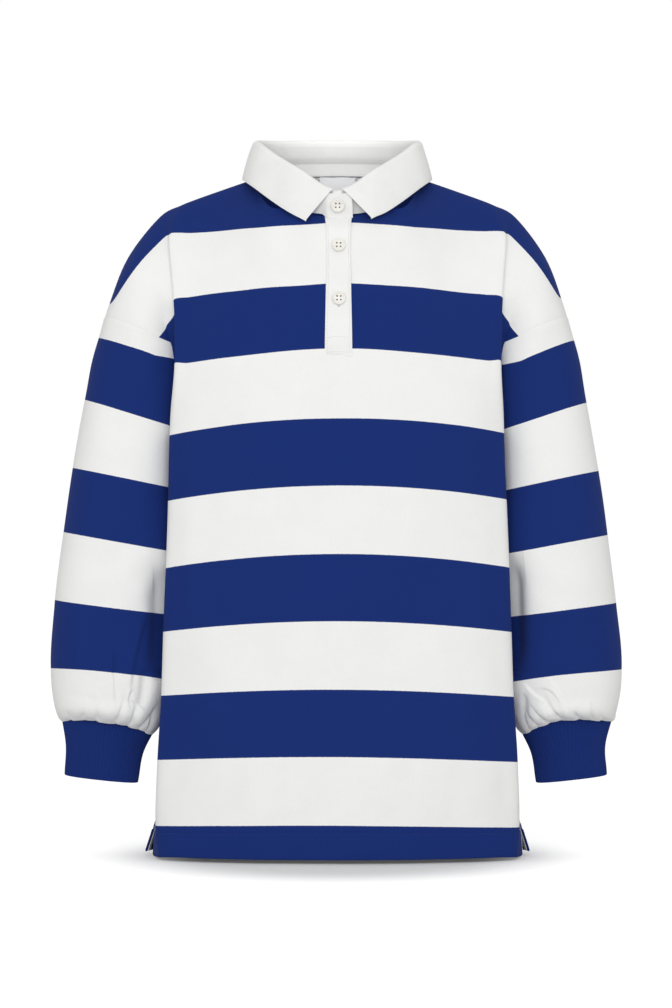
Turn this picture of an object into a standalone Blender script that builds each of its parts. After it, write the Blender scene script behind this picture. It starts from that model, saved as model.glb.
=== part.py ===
"""Long-sleeved rugby sweatshirt, hanging hollow as it is worn.

Metres, +Z up, the front faces -Y and +X is the side of the lapped-under front edge.
Z is 0 about level with the side neck points, where the garment rests on its wearer.
Every cloth piece is a surface lofted through sections, given a wall by Solidify.
"""
import bmesh
import bpy
import math
import numpy as np
from mathutils import Vector

# ---------------------------------------------------------------- driving sizes
CLOTH = 0.0016            # heavy jersey
RIB = 0.0026              # doubled cuff rib
TWILL = 0.0020            # collar cloth, two layers
PLACKET_CLOTH = 0.0016
TAPE = 0.0008
GAP = 0.0003              # seam clearance between neighbouring pieces
HALF_NECK = 0.083         # half the width across the neck seam
NECK_FRONT = 0.078        # neck seam, forward of the shoulder line
NECK_BACK = 0.058         # neck seam, behind the shoulder line
PLACKET_X = 0.0010        # the placket's middle
PLACKET_WIDTH = 0.0276
SLIT = 0.0118             # half the width of the opening under the placket
BUTTON_ACROSS = 0.0134
BUTTON_THICK = 0.0026
LABEL_WIDTH = 0.038
LABEL_FALL = 0.026        # the label hangs free from the back of the neck seam
SHOULDER_RATE = 0.302     # fall of the cloth's grain for each metre along the shoulder
FRONT_SLACK = 0.0258      # cloth used by the slope of the upper chest
VENT_TOP = 0.648          # down the cloth to the top of the side vents
BACK_CORNER_LESS = 0.012  # the back turns in to the side seam flatter than the front
ARMPIT_WIDTH = 0.1635     # half the width at the underarm, where the stations are set out
SLEEVE_ROUND = 2.25       # power of a sleeve's section: 2 is an ellipse, more is squarer
ARM_SHIFT = 0.0035        # how much closer the +X arm hangs
FACETS_ROUND = 24         # columns round a sleeve or cuff

# Body below the underarm: half width at the front corner, depth of the middle, the
# corner's depth, the side seam, and how far the grain hangs lower at the corner.
LEVELS = [
    dict(down=0.245, wide=0.1635, front=0.1000, corner=0.0560, side=0.1430, back=0.0860, droop=0.0140),
    dict(down=0.310, wide=0.1665, front=0.0995, corner=0.0560, side=0.1435, back=0.0850, droop=0.0136),
    dict(down=0.380, wide=0.1688, front=0.0980, corner=0.0550, side=0.1460, back=0.0820, droop=0.0140),
    dict(down=0.450, wide=0.1708, front=0.0980, corner=0.0545, side=0.1500, back=0.0830, droop=0.0118),
    dict(down=0.520, wide=0.1732, front=0.0990, corner=0.0540, side=0.1540, back=0.0850, droop=0.0085),
    dict(down=0.590, wide=0.1775, front=0.1010, corner=0.0530, side=0.1640, back=0.0880, droop=0.0055),
    dict(down=0.648, wide=0.1780, front=0.1030, corner=0.0540, side=0.1800, back=0.0920, droop=0.0040),
    dict(down=0.692, wide=0.1740, front=0.1040, corner=0.0600, side=0.1830, back=0.0950, droop=0.0000),
]

# The shoulder ridge from the side neck point to the end of the dropped shoulder.
RIDGE = [
    dict(x=0.0830, z=0.0060),
    dict(x=0.1300, z=-0.0103),
    dict(x=0.1560, z=-0.0203),
    dict(x=0.1775, z=-0.0318),
    dict(x=0.2000, z=-0.0535),
    dict(x=0.2155, z=-0.0890),
    dict(x=0.2335, z=-0.1320),
]

# Four lengthwise lines of the dropped shoulder, each from the ridge down to the
# underarm row: the chest's edge, the armpit fold, the front of the arm, the armhole.
SHOULDER_LINES = [
    dict(name="chest_edge", ridge=2, x=(0.1650, 0.1620, 0.1600, 0.1600), y=(0.036, 0.052, 0.059, 0.061),
         z=(-0.052, -0.092, -0.136, -0.184), down=(0.066, 0.110, 0.154, 0.1995)),
    dict(name="armpit_fold", ridge=3, x=(0.1700, 0.1605, 0.1555, 0.1545), y=(0.027, 0.040, 0.043, 0.041),
         z=(-0.058, -0.095, -0.137, -0.187), down=(0.069, 0.107, 0.138, 0.188)),
    dict(name="arm_front", ridge=4.6, x=(0.2040, 0.1880, 0.1720, 0.1620), y=(0.034, 0.046, 0.045, 0.034),
         z=(-0.084, -0.104, -0.130, -0.180), down=(0.061, 0.089, 0.118, 0.170)),
    dict(name="armhole", ridge=6, x=(0.2270, 0.2055, 0.1805, 0.1620), y=(0.030, 0.047, 0.046, 0.030),
         z=(-0.134, -0.142, -0.150, -0.169), down=(0.068, 0.099, 0.1195, 0.168)),
]

# Height at the middle of the chest, and how far down the cloth that is.
GRAIN = [(-0.0449, 0.0640), (-0.1051, 0.1305), (-0.1687, 0.1960)]

# How the cloth leaves the neck seam or the shoulder ridge, at each of the first stations:
# where it starts, how far it runs on at first, how far aside it turns and how steeply it leans.
CHEST_LINES = [
    dict(neck=0, back_neck=180, run=0.036, aside=0.00, lean=0.74),
    dict(neck=32, back_neck=147, run=0.030, aside=-0.25, lean=0.50),
    dict(neck=70, back_neck=110, run=0.049, aside=0.53, lean=0.60),
    dict(neck=90, back_neck=90, run=0.075, aside=0.45, lean=0.50),
    dict(ridge=0.09, run=0.072, aside=0.37, lean=0.50),
    dict(ridge=0.68, run=0.074, aside=0.10, lean=0.64),
    dict(ridge=1.45, run=0.070, aside=0.00, lean=0.56),
]

# Sleeve rings below the armhole: cloth down from the armhole's top, outer and inner
# edge seen from the front, and half the tube's depth.
SLEEVE_RINGS = [
    dict(name="upper", down=0.0882, outer=(0.2526, -0.2170), inner=(0.1534, -0.2480), deep=0.0516),
    dict(name="upper_mid", down=0.1566, outer=(0.2648, -0.2870), inner=(0.1544, -0.3090), deep=0.0536),
    dict(name="elbow", down=0.2157, outer=(0.2733, -0.3460), inner=(0.1554, -0.3670), deep=0.0536),
    dict(name="fore", down=0.2885, outer=(0.2836, -0.4200), inner=(0.1594, -0.4350), deep=0.0536),
    dict(name="fore_mid", down=0.3488, outer=(0.2881, -0.4810), inner=(0.1644, -0.4930), deep=0.0516),
    dict(name="full", down=0.3732, outer=(0.2866, -0.5060), inner=(0.1674, -0.5160), deep=0.0486),
    dict(name="cuff_seam", down=0.4090, outer=(0.2781, -0.5370), inner=(0.1834, -0.5470), deep=0.0326,
         arch=0.0055),
]
CUFF_RINGS = [
    dict(name="top", outer=(0.2751, -0.5370), inner=(0.1844, -0.5470), deep=0.0316, arch=0.0055),
    dict(name="upper", outer=(0.2726, -0.5570), inner=(0.1929, -0.5660), deep=0.0291, arch=0.0015),
    dict(name="hem", outer=(0.2734, -0.5900), inner=(0.1994, -0.5980), deep=0.0276, arch=0.0),
]

# The collar from its front end (0) round to the back (180): its roll line, and the
# lower edge of the leaf that falls outside it.
COLLAR = [
    dict(turn=4, roll=(0.0049, -0.0832, -0.0124), edge=(0.0322, -0.0866, -0.0430)),
    dict(turn=25, roll=(0.0345, -0.0755, 0.0060), edge=(0.0483, -0.0765, -0.0338)),
    dict(turn=50, roll=(0.0615, -0.0535, 0.0242), edge=(0.0711, -0.0600, -0.0168)),
    dict(turn=60, roll=(0.0686, -0.0465, 0.0301), edge=(0.0802, -0.0510, -0.0092)),
    dict(turn=71, roll=(0.0747, -0.0375, 0.0355), edge=(0.0875, -0.0420, -0.0033)),
    dict(turn=85, roll=(0.0799, -0.0195, 0.0405), edge=(0.0936, -0.0250, 0.0023)),
    dict(turn=100, roll=(0.0790, 0.0030, 0.0437), edge=(0.0938, 0.0040, 0.0052)),
    dict(turn=130, roll=(0.0600, 0.0325, 0.0465), edge=(0.0780, 0.0490, 0.0095)),
    dict(turn=180, roll=(0.0000, 0.0505, 0.0490), edge=(0.0000, 0.0760, 0.0080)),
]
BUTTONS = [
    dict(name="button_top", x=0.0004, down=0.0),
    dict(name="button_middle", x=0.0012, down=0.0905),
    dict(name="button_bottom", x=0.0014, down=0.146),
]


# ---------------------------------------------------------------- splines and grids
def spline_weights(knots, at):
    """Rows of weights of a smooth curve through points at the knots."""
    knots = np.asarray(knots, float)
    at = np.clip(np.asarray(at, float), knots[0], knots[-1])
    count = len(knots)
    step = np.diff(knots)
    slope = np.zeros((count, count))
    for i in range(count):
        if i == 0:
            slope[i, 0], slope[i, 1] = -1 / step[0], 1 / step[0]
        elif i == count - 1:
            slope[i, i - 1], slope[i, i] = -1 / step[-1], 1 / step[-1]
        else:
            before, after = step[i - 1], step[i]
            slope[i, i + 1] += before / after / (before + after)
            slope[i, i] += (after / before - before / after) / (before + after)
            slope[i, i - 1] -= after / before / (before + after)
    cell = np.clip(np.searchsorted(knots, at, side="right") - 1, 0, count - 2)
    wide = step[cell]
    s = (at - knots[cell]) / wide
    rows = np.zeros((len(at), count))
    index = np.arange(len(at))
    rows[index, cell] += 2 * s**3 - 3 * s**2 + 1
    rows[index, cell + 1] += 3 * s**2 - 2 * s**3
    rows += ((s**3 - 2 * s**2 + s) * wide)[:, None] * slope[cell]
    rows += ((s**3 - s**2) * wide)[:, None] * slope[cell + 1]
    return rows


def surface(net, row_knots, column_knots, rows, columns):
    """Points of the smooth surface through a net of points."""
    across = spline_weights(column_knots, columns)
    along = spline_weights(row_knots, rows)
    return np.einsum("ri,ijk,cj->rck", along, net, across)


def ease(value, low, high):
    """0 at low and 1 at high, smoothly; high may be the smaller one."""
    s = np.clip((value - low) / (high - low), 0, 1)
    return s * s * (3 - 2 * s)


def unit(vectors):
    return vectors / np.linalg.norm(vectors, axis=-1, keepdims=True)


# ---------------------------------------------------------------- body
STATIONS = [0.0, 0.045, 0.078, 0.083, 0.088, 0.120, 0.148, 0.1685, 0.190, 0.213, 0.238]
CHEST_EDGE = 7             # the station of the chest's edge; the rest turn in to the side
SIDE_SHARES = (0.0, 0.36, 0.70, 1.0)
BODY_ROWS = [-1, 0, 1, 2, 3, 4, 5, 6, 7, 8, 9, 10, 11, 12]


def ridge_point(place):
    spots = np.array([[row["x"], row["z"]] for row in RIDGE])
    x, z = (spline_weights(range(len(RIDGE)), [place]) @ spots)[0]
    return np.array([x, 0.0, z])


def ridge_length(place):
    steps = np.linspace(0, place, 40)
    spots = np.array([ridge_point(step) for step in steps])
    return np.linalg.norm(np.diff(spots, axis=0), axis=1).sum() if place > 0 else 0.0


def body_row_point(level, station, back):
    """One point of a body section, and how far down the cloth it is."""
    wide, corner, side = level["wide"], level["corner"], level["side"]
    deep = level["back"] if back else level["front"]
    vent = max(0.0, level["down"] - VENT_TOP)
    side_y = -0.45 * vent
    if back:
        corner -= BACK_CORNER_LESS
        wide -= 0.011 * ease(level["down"], 0.692, 0.580)
        side += 0.20 * vent
        side_y = -0.05 * vent
    if station < CHEST_EDGE:
        x = STATIONS[station] * wide / ARMPIT_WIDTH
        share = (x / wide) ** 2
        y = deep - (deep - corner - 0.004) * (x / wide) ** 2.6
    else:
        part = SIDE_SHARES[station - CHEST_EDGE]
        swell = 0.0035 * math.sin(math.pi * part) * ease(side, 0.172, 0.150)
        x = wide + (side - wide) * part + swell
        y = corner * (1 - part) - side_y * part * (1 if not back else -1)
        share = 1.0
    if back:
        share = 0.55 + 0.45 * share
    z = FRONT_SLACK - level["down"] - level["droop"] * share
    return np.array([x, y if back else -y, z, level["down"]])


def upper_chest_line(top, bottom, run, aside, lean):
    """A line from the neck or the ridge over the chest to the underarm row."""
    sign = -1.0 if bottom[1] < 0 else 1.0
    first = top + unit(np.array([aside, sign * math.cos(lean), -math.sin(lean)])) * run
    last = bottom[:3] + np.array([0, 0, 0.090 if run > 0.03 else 0.070])
    heights = [0.0] + [-z for z, _ in GRAIN] + [-bottom[2]]
    downs = [0.012] + [down for _, down in GRAIN] + [bottom[3]]
    rows = []
    for s in (0.0, 0.17, 0.36, 0.57, 0.78, 1.0):
        a, b, c, d = (1 - s)**3, 3 * s * (1 - s)**2, 3 * s * s * (1 - s), s**3
        point = a * top + b * first + c * last + d * bottom[:3]
        rows.append([*point, float(np.interp(-point[2], heights, downs))])
    return np.array(rows)


def neck_point(turn, lift=0.0, inward=0.0):
    """The neck seam at an angle from the front (0) to the back (180), +X side."""
    angle = math.radians(turn)
    across, along = math.sin(angle), math.cos(angle)
    deep = NECK_FRONT if along > 0 else NECK_BACK
    x = (HALF_NECK - inward) * across
    y = -(deep - inward) * along
    if along > 0:
        z = 0.006 - 0.044 * along
    else:
        z = 0.006 + 0.0075 * along**2
    return np.array([x, y, z + lift])


def half_net(back):
    """The net of a front or back panel's +X half: rows by stations, x y z and down."""
    count = len(STATIONS)
    bottom = [body_row_point(LEVELS[0], k, back) for k in range(count)]
    lines = []
    for k, line in enumerate(CHEST_LINES):
        if "ridge" in line:
            top = ridge_point(line["ridge"])
        else:
            top = neck_point(line["back_neck"] if back else line["neck"])
        lines.append(upper_chest_line(top, bottom[k], line["run"], line["aside"], line["lean"]))
    for k, line in enumerate(SHOULDER_LINES):
        top = ridge_point(line["ridge"])
        sign = 1.0 if back else -1.0
        deep = 0.92 if back else 1.0
        rows = [[*top, SHOULDER_RATE * ridge_length(line["ridge"])]]
        for x, y, z, down in zip(line["x"], line["y"], line["z"], line["down"]):
            rows.append([x, sign * y * deep, z, down])
        rows.append(bottom[CHEST_EDGE + k])
        lines.append(np.array(rows))
    net = np.stack(lines, axis=1)
    lower = [[body_row_point(level, k, back) for k in range(count)] for level in LEVELS[1:]]
    net = np.concatenate([net, np.array(lower)], axis=0)
    mirrored = net[1:2].copy()
    mirrored[:, :, 1] *= -1
    plain = 2 * net[0:1] - net[1:2]
    first = plain.copy()
    first[:, 3:, :3] = mirrored[:, 3:, :3]
    return np.concatenate([first, net], axis=0)


def body_net(back):
    half = half_net(back)
    other = half[:, :0:-1].copy()
    other[:, :, 0] *= -1
    return np.concatenate([other, half], axis=1)


def settle(points):
    """The arms hang a little unevenly: the +X one lies a touch closer."""
    moved = points.copy()
    moved[..., 0] -= ARM_SHIFT * ease(points[..., 0], 0.175, 0.245)
    return moved


BODY_COLUMNS = [-k for k in STATIONS[:0:-1]] + STATIONS
FRONT_NET = body_net(False)
BACK_NET = body_net(True)


def body_points(back, rows, columns):
    net = BACK_NET if back else FRONT_NET
    points = surface(net, BODY_ROWS, BODY_COLUMNS, rows, columns)
    return settle(points[..., :3])


def body_normals(back, rows, columns):
    """Outward unit normals of the body surface at a grid of rows and columns."""
    small = 0.0008
    rows = np.asarray(rows, float)
    columns = np.asarray(columns, float)
    lower = np.minimum(rows + small * 20, 12)
    upper = np.maximum(rows - small * 20, 0)
    left = np.maximum(columns - small, BODY_COLUMNS[0])
    right = np.minimum(columns + small, BODY_COLUMNS[-1])
    along = body_points(back, lower, columns) - body_points(back, upper, columns)
    across = body_points(back, rows, right) - body_points(back, rows, left)
    normal = unit(np.cross(across, along))
    return normal if back else -normal


def row_at(down):
    """The body row that lies so far down the cloth, at the middle of the front."""
    downs = spline_weights(BODY_ROWS, np.linspace(0, 12, 400)) @ FRONT_NET[:, len(STATIONS) - 1, 3]
    return float(np.interp(down, downs, np.linspace(0, 12, 400)))


# ---------------------------------------------------------------- meshes
def new_collection(name):
    made = bpy.data.collections.new(name)
    bpy.context.scene.collection.children.link(made)
    return made


def material(name, colour, roughness, metallic=0.0):
    made = bpy.data.materials.new(name)
    made.use_nodes = True
    shader = made.node_tree.nodes["Principled BSDF"]
    shader.inputs["Base Color"].default_value = (*colour, 1.0)
    shader.inputs["Roughness"].default_value = roughness
    shader.inputs["Metallic"].default_value = metallic
    made.diffuse_color = (*colour, 1.0)
    return made


def grid_mesh(name, points, flip=False, closed=False, skip=None):
    """A mesh through a grid of points; closed joins the last column to the first."""
    rows, columns = points.shape[:2]
    mesh = bmesh.new()
    made = [[mesh.verts.new(points[r, c]) for c in range(columns)] for r in range(rows)]
    for r in range(rows - 1):
        for c in range(columns if closed else columns - 1):
            if skip and skip(r, c):
                continue
            after = (c + 1) % columns
            corners = [made[r][c], made[r + 1][c], made[r + 1][after], made[r][after]]
            mesh.faces.new(reversed(corners) if flip else corners)
    loose = [vert for vert in mesh.verts if not vert.link_faces]
    bmesh.ops.delete(mesh, geom=loose, context="VERTS")
    data = bpy.data.meshes.new(name)
    mesh.to_mesh(data)
    mesh.free()
    data.shade_smooth()
    return data


def cloth(name, mesh, thickness, look, offset=-1.0):
    """An open surface with a wall of cloth behind it."""
    made = bpy.data.objects.new(name, mesh)
    PARTS.objects.link(made)
    made.data.materials.append(look)
    wall = made.modifiers.new("wall", "SOLIDIFY")
    wall.thickness = thickness
    wall.offset = offset
    wall.use_rim = True
    return made


def spread(*parts):
    """Joined runs of evenly spaced values: (start, stop, steps) for each run."""
    values = [parts[0][0]]
    for start, stop, steps in parts:
        values.extend(np.linspace(start, stop, steps + 1)[1:])
    return np.array(values)


# ---------------------------------------------------------------- the body's panels
def panel_columns():
    edge = STATIONS[-1]
    half = spread((0.0, SLIT, 1), (SLIT, 0.083, 3), (0.083, 0.148, 3), (0.148, 0.205, 5),
                  (0.205, edge, 2))
    return np.concatenate([-half[:0:-1], half])


def make_body(back, look):
    columns = panel_columns()
    slit_end = row_at(0.196)
    if back:
        rows = spread((0, 0.03, 1), (0.03, 0.3, 1), (0.3, 5, 8), (5, 12, 8))
    else:
        rows = spread((0, 0.03, 1), (0.03, 0.3, 1), (0.3, slit_end, 6), (slit_end, 5, 2), (5, 12, 8))
    points = body_points(back, rows, columns)
    # Seam clearance: along the shoulder ridge, and down the two sides.
    away = 1.0 if back else -1.0
    ridge_share = np.exp(-rows / 0.12)[:, None]
    points[..., 1] += away * 0.0004 * ridge_share
    outer = (np.abs(columns) > 0.237)[None, :] & (rows >= 5)[:, None]
    points[..., 1] += np.where(outer, away * 0.0003, 0.0)
    middle = len(columns) // 2

    def placket_slit(r, c):
        return (not back) and rows[r + 1] <= slit_end + 1e-6 and c in (middle - 1, middle)

    name = "body_back" if back else "body_front"
    mesh = grid_mesh(name, points, flip=back, skip=placket_slit)
    return cloth(name, mesh, CLOTH, look)


# ---------------------------------------------------------------- sleeves and cuffs
def tube_point(ring, turn, side):
    """A point of a slanted ring: turn 0 at the outer edge, 90 in front, 180 inside."""
    outer, inner, deep = ring["outer"], ring["inner"], ring["deep"]
    angle = math.radians(turn)
    arch = ring.get("arch", 0.0) * math.sin(angle) ** 2
    middle_x = (outer[0] + inner[0]) / 2
    middle_z = (outer[1] + inner[1]) / 2
    half_x = (outer[0] - inner[0]) / 2
    half_z = (outer[1] - inner[1]) / 2
    full = 2.0 / SLEEVE_ROUND
    across = math.copysign(abs(math.cos(angle)) ** full, math.cos(angle))
    depth = math.copysign(abs(math.sin(angle)) ** full, math.sin(angle))
    return np.array([side * (middle_x + half_x * across), 0.005 - deep * depth,
                     middle_z + half_z * across + arch])


def armhole_ring(turns, side):
    """The armhole seam of a body side, walked round from its top through the front."""
    edge = STATIONS[-1]
    seam = []
    for turn in turns:
        back = turn > 180
        share = (360 - turn if back else turn) / 180
        seam.append(body_points(back, [share * 5], [side * edge])[0, 0])
    return np.array(seam)


def sleeve_net(side, turns):
    top = armhole_ring(turns, side)
    rings = [top]
    for ring in SLEEVE_RINGS:
        loop = [tube_point(ring, turn, side) for turn in turns]
        rings.append(settle(np.array(loop)))
    return np.array(rings)


def sleeve_knots():
    return [0.0, 0.0860] + [row["down"] for row in SLEEVE_RINGS[1:]]


def make_sleeve(side, look):
    turns = np.linspace(0, 360, FACETS_ROUND, endpoint=False)
    net = sleeve_net(side, turns)
    knots = sleeve_knots()
    rows = spread((0.0, 0.088, 3), (0.088, 0.349, 6), (0.349, knots[-1], 3))
    across = spline_weights(knots, rows)
    points = np.einsum("ri,ijk->rjk", across, net)
    # Seam clearance below the armhole.
    inward = np.abs(np.abs(turns - 180) - 180)
    below = ease(inward, 84, 118)
    points[0] += unit(points[1] - points[0]) * (0.0014 + 0.0030 * below)[:, None]
    points[0, :, 0] += side * 0.0020 * below
    name = "sleeve_right_side" if side > 0 else "sleeve_left_side"
    mesh = grid_mesh(name, points, flip=side > 0, closed=True)
    return cloth(name, mesh, CLOTH, look)


def make_cuff(side, look):
    turns = np.linspace(0, 360, FACETS_ROUND, endpoint=False)
    rings = []
    for ring in CUFF_RINGS:
        loop = [tube_point(ring, turn, side) for turn in turns]
        rings.append(settle(np.array(loop)))
    rings = np.array(rings)
    rings[0, :, 2] -= 0.0012
    points = np.einsum("ri,ijk->rjk", spline_weights([0, 1, 3], spread((0, 3, 3))), rings)
    name = "cuff_right_side" if side > 0 else "cuff_left_side"
    mesh = grid_mesh(name, points, flip=side > 0, closed=True)
    return cloth(name, mesh, RIB, look)


# ---------------------------------------------------------------- collar
def roll_point(turn):
    """The roll line; turn runs from -180 to 180 with 0 in front."""
    size = abs(turn)
    knots = [-COLLAR[1]["turn"]] + [row["turn"] for row in COLLAR] + [360 - COLLAR[-2]["turn"]]
    rolls = [np.array(COLLAR[1]["roll"]) * (-1, 1, 1)] + [np.array(row["roll"]) for row in COLLAR]
    rolls.append(np.array(COLLAR[-2]["roll"]) * (-1, 1, 1))
    point = (spline_weights(knots, [size]) @ np.array(rolls))[0]
    if turn < 0:
        point = point * (-1, 1, 1)
    return point


def edge_point(turn):
    size = max(abs(turn), COLLAR[0]["turn"])
    knots = [row["turn"] for row in COLLAR] + [360 - COLLAR[-2]["turn"]]
    edges = [np.array(row["edge"]) for row in COLLAR]
    edges.append(np.array(COLLAR[-2]["edge"]) * (-1, 1, 1))
    point = (spline_weights(knots, [size]) @ np.array(edges))[0]
    if turn < 0:
        point = point * (-1, 1, 1)
    return point


def outward(turn):
    """The level direction out of the roll line."""
    ahead = roll_point(turn + 2) - roll_point(turn - 2)
    if abs(turn) < 12:
        ahead = np.array([1.0, 0.0, 0.0])
    return unit(np.array([ahead[1], -ahead[0], 0.0]))


def leaf_section(turn):
    """The leaf's section from inside the roll, over it, and down to its edge."""
    roll, edge, out = roll_point(turn), edge_point(turn), outward(turn)
    up = np.array([0.0, 0.0, 1.0])
    return np.array([
        roll - out * 0.0020 - up * 0.0022,
        roll - out * 0.0004 + up * 0.0012,
        roll + out * 0.0026 + up * 0.0002,
        roll + (edge - roll) * 0.16 + out * 0.0034,
        roll + (edge - roll) * 0.55 + out * 0.0026,
        edge + out * 0.0006,
    ])


def make_leaf(look):
    turns = spread((4, 25, 4), (25, 85, 6), (85, 180, 6))
    points = []
    for turn in np.concatenate([turns, 360 - turns[-2::-1]]):
        signed = turn if turn <= 180 else turn - 360
        points.append(leaf_section(signed))
    points = np.array(points)
    along = spline_weights([0, 0.5, 1, 2, 3.3, 4.6], spread((0, 1, 2), (1, 4.6, 4)))
    grid = np.einsum("sk,tkd->std", along, points)
    mesh = grid_mesh("collar_leaf", grid)
    return cloth("collar_leaf", mesh, TWILL, look)


def stand_section(turn, lap):
    """The stand's section from the neck seam up to just under the roll."""
    size = abs(turn)
    side_lift = 0.0014 * math.sin(math.radians(turn)) ** 2
    bottom = neck_point(size, lift=0.0012 + side_lift, inward=0.0010)
    if turn < 0:
        bottom[0] *= -1
    out = outward(turn)
    if lap > 0.001:
        bottom = bottom + np.array([0.0, -0.0022, -0.0042]) * ease(lap, 0.0022, 0.0034)
    # Between the leaf's two ends the stand comes up as high as the roll.
    drop = 0.0046 - 0.0036 * ease(abs(turn), 3.7, 2.4)
    top = roll_point(turn) - out * 0.0020 - np.array([0, 0, drop])
    middle = (top + bottom) / 2 + out * 0.0012
    points = np.array([bottom, middle, top])
    return points + out * lap


def make_stand(look):
    """One band round the neck whose -X end laps over the other in front."""
    over = 10.5
    start = spread((-over, -3.7, 1), (-3.7, -2.4, 1), (-2.4, 2.4, 1), (2.4, 3.7, 1),
                   (3.7, over, 1), (over, 25, 2))
    walk = np.concatenate([start, spread((25, 335, 22))[1:-1], 360 - start[::-1]])
    sections = []
    for turn in walk:
        signed = turn if turn <= 180 else turn - 360
        # The walk starts under the lap at -X and ends over it at +X.
        lap = 0.0034 * ease(turn, 338, 356) - 0.0012 * ease(-turn, -22, -4)
        sections.append(stand_section(signed, lap))
    points = np.array(sections)
    grid = np.einsum("sk,tkd->std", spline_weights([0, 1, 2], spread((0, 2, 3))), points)
    mesh = grid_mesh("collar_stand", grid, flip=True)
    return cloth("collar_stand", mesh, TWILL, look)


# ---------------------------------------------------------------- placket, label, tapes
def strip(name, back, rows, columns, lift, thickness, look):
    """A strip made from a panel's own points, moved out from it or in behind it."""
    points = body_points(back, rows, columns)
    normals = body_normals(back, rows, columns)
    mesh = grid_mesh(name, points + normals * lift, flip=back)
    return cloth(name, mesh, thickness, look)


def make_plackets(look):
    half = PLACKET_WIDTH / 2
    columns = PLACKET_X + np.linspace(-half, half, 5)
    top_rows = spread((0.40, row_at(0.2020), 12))
    strip("placket_top", False, top_rows, columns, PLACKET_CLOTH + 0.0008, PLACKET_CLOTH, look)
    columns = np.linspace(-SLIT + 0.0006, SLIT - 0.0006, 3)
    under_rows = spread((0.04, row_at(0.193), 8))
    strip("placket_under", False, under_rows, columns, -0.0003, PLACKET_CLOTH * 0.8, look)


def make_label(look):
    rim = []
    for x in np.linspace(-LABEL_WIDTH / 2, LABEL_WIDTH / 2, 5):
        turn = 180 - math.degrees(math.asin(abs(x) / HALF_NECK))
        rim.append(neck_point(turn, lift=-0.0008, inward=0.0036) * (1 if x > 0 else -1, 1, 1))
    falls = np.linspace(0, LABEL_FALL, 4)[:, None, None]
    points = np.array(rim)[None] - falls * np.array([0.0, 0.03, 1.0])
    cloth("neck_label", grid_mesh("neck_label", points), TAPE, look)


def make_vent_tape(side, look):
    edge = STATIONS[-1]
    columns = np.sort(side * np.array([edge - 0.0012, edge - 0.006, edge - 0.011]))
    rows = spread((11.05, 11.97, 3))
    name = "vent_tape_right_side" if side > 0 else "vent_tape_left_side"
    strip(name, True, rows, columns, -(CLOTH + 0.0006), TAPE, look)


# ---------------------------------------------------------------- buttons
def button_profile():
    radius = BUTTON_ACROSS / 2
    thick = BUTTON_THICK
    return [
        (0.0, thick * 0.62), (radius * 0.60, thick * 0.62), (radius * 0.72, thick * 0.86),
        (radius * 0.84, thick), (radius * 0.95, thick * 0.86), (radius, thick * 0.55),
        (radius * 0.93, thick * 0.18), (radius * 0.72, 0.0), (0.0, 0.0),
    ]


def make_button(spot, look):
    name = spot["name"]
    mesh = bmesh.new()
    verts = [mesh.verts.new((x, 0.0, z)) for x, z in button_profile()]
    for first, second in zip(verts, verts[1:]):
        mesh.edges.new((first, second))
    data = bpy.data.meshes.new(name)
    mesh.to_mesh(data)
    mesh.free()
    made = bpy.data.objects.new(name, data)
    PARTS.objects.link(made)
    made.data.materials.append(look)
    turned = made.modifiers.new("turned", "SCREW")
    turned.steps = 28
    turned.render_steps = 28
    turned.use_merge_vertices = True
    turned.merge_threshold = 0.00005
    turned.use_smooth_shade = True
    row = row_at(spot["down"]) if spot["down"] else 0.06
    at = body_points(False, [row], [spot["x"]])[0, 0]
    normal = body_normals(False, [row], [spot["x"]])[0, 0]
    if spot["down"]:
        seat = at + normal * (PLACKET_CLOTH + 0.0008 + GAP)
    else:
        # The top button sits on the lapped end of the stand.
        high = stand_section(spot["x"] / 0.083 * 57.3, 0.0034 + TWILL + 0.0006)
        normal = unit(np.cross(high[2] - high[0], np.array([-1.0, 0, 0])))
        normal = normal if normal[1] < 0 else -normal
        seat = high[1] + (high[0] - high[1]) * 0.10 + normal * GAP
    made.location = seat
    made.rotation_mode = "QUATERNION"
    made.rotation_quaternion = Vector(normal).to_track_quat("Z", "Y")
    drill(made, name)
    return made


def drill(made, name):
    """Four sewing holes through a button."""
    mesh = bmesh.new()
    for x in (-1, 1):
        for y in (-1, 1):
            found = bmesh.ops.create_cone(mesh, cap_ends=True, segments=10, radius1=0.0008,
                                          radius2=0.0008, depth=0.012)
            bmesh.ops.translate(mesh, verts=found["verts"], vec=(x * 0.0018, y * 0.0018, 0))
    data = bpy.data.meshes.new(name + "_holes")
    mesh.to_mesh(data)
    mesh.free()
    cutter = bpy.data.objects.new(name + "_holes", data)
    CUTTERS.objects.link(cutter)
    cutter.parent = made
    cutter.hide_render = True
    cutter.display_type = "WIRE"
    cut = made.modifiers.new("holes", "BOOLEAN")
    cut.operation = "DIFFERENCE"
    cut.object = cutter


# ---------------------------------------------------------------- build
for old in list(bpy.data.objects):
    bpy.data.objects.remove(old, do_unlink=True)
PARTS = new_collection("rugby_sweatshirt")
CUTTERS = new_collection("cutters")
JERSEY = material("striped_jersey", (0.55, 0.58, 0.68), 0.9)
BLUE_RIB = material("blue_rib", (0.012, 0.028, 0.16), 0.9)
WHITE_TWILL = material("white_collar_cloth", (0.86, 0.86, 0.85), 0.85)
PALE_TAPE = material("pale_tape", (0.62, 0.63, 0.65), 0.85)
BUTTON_LOOK = material("off_white_button", (0.80, 0.79, 0.74), 0.35)

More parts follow.
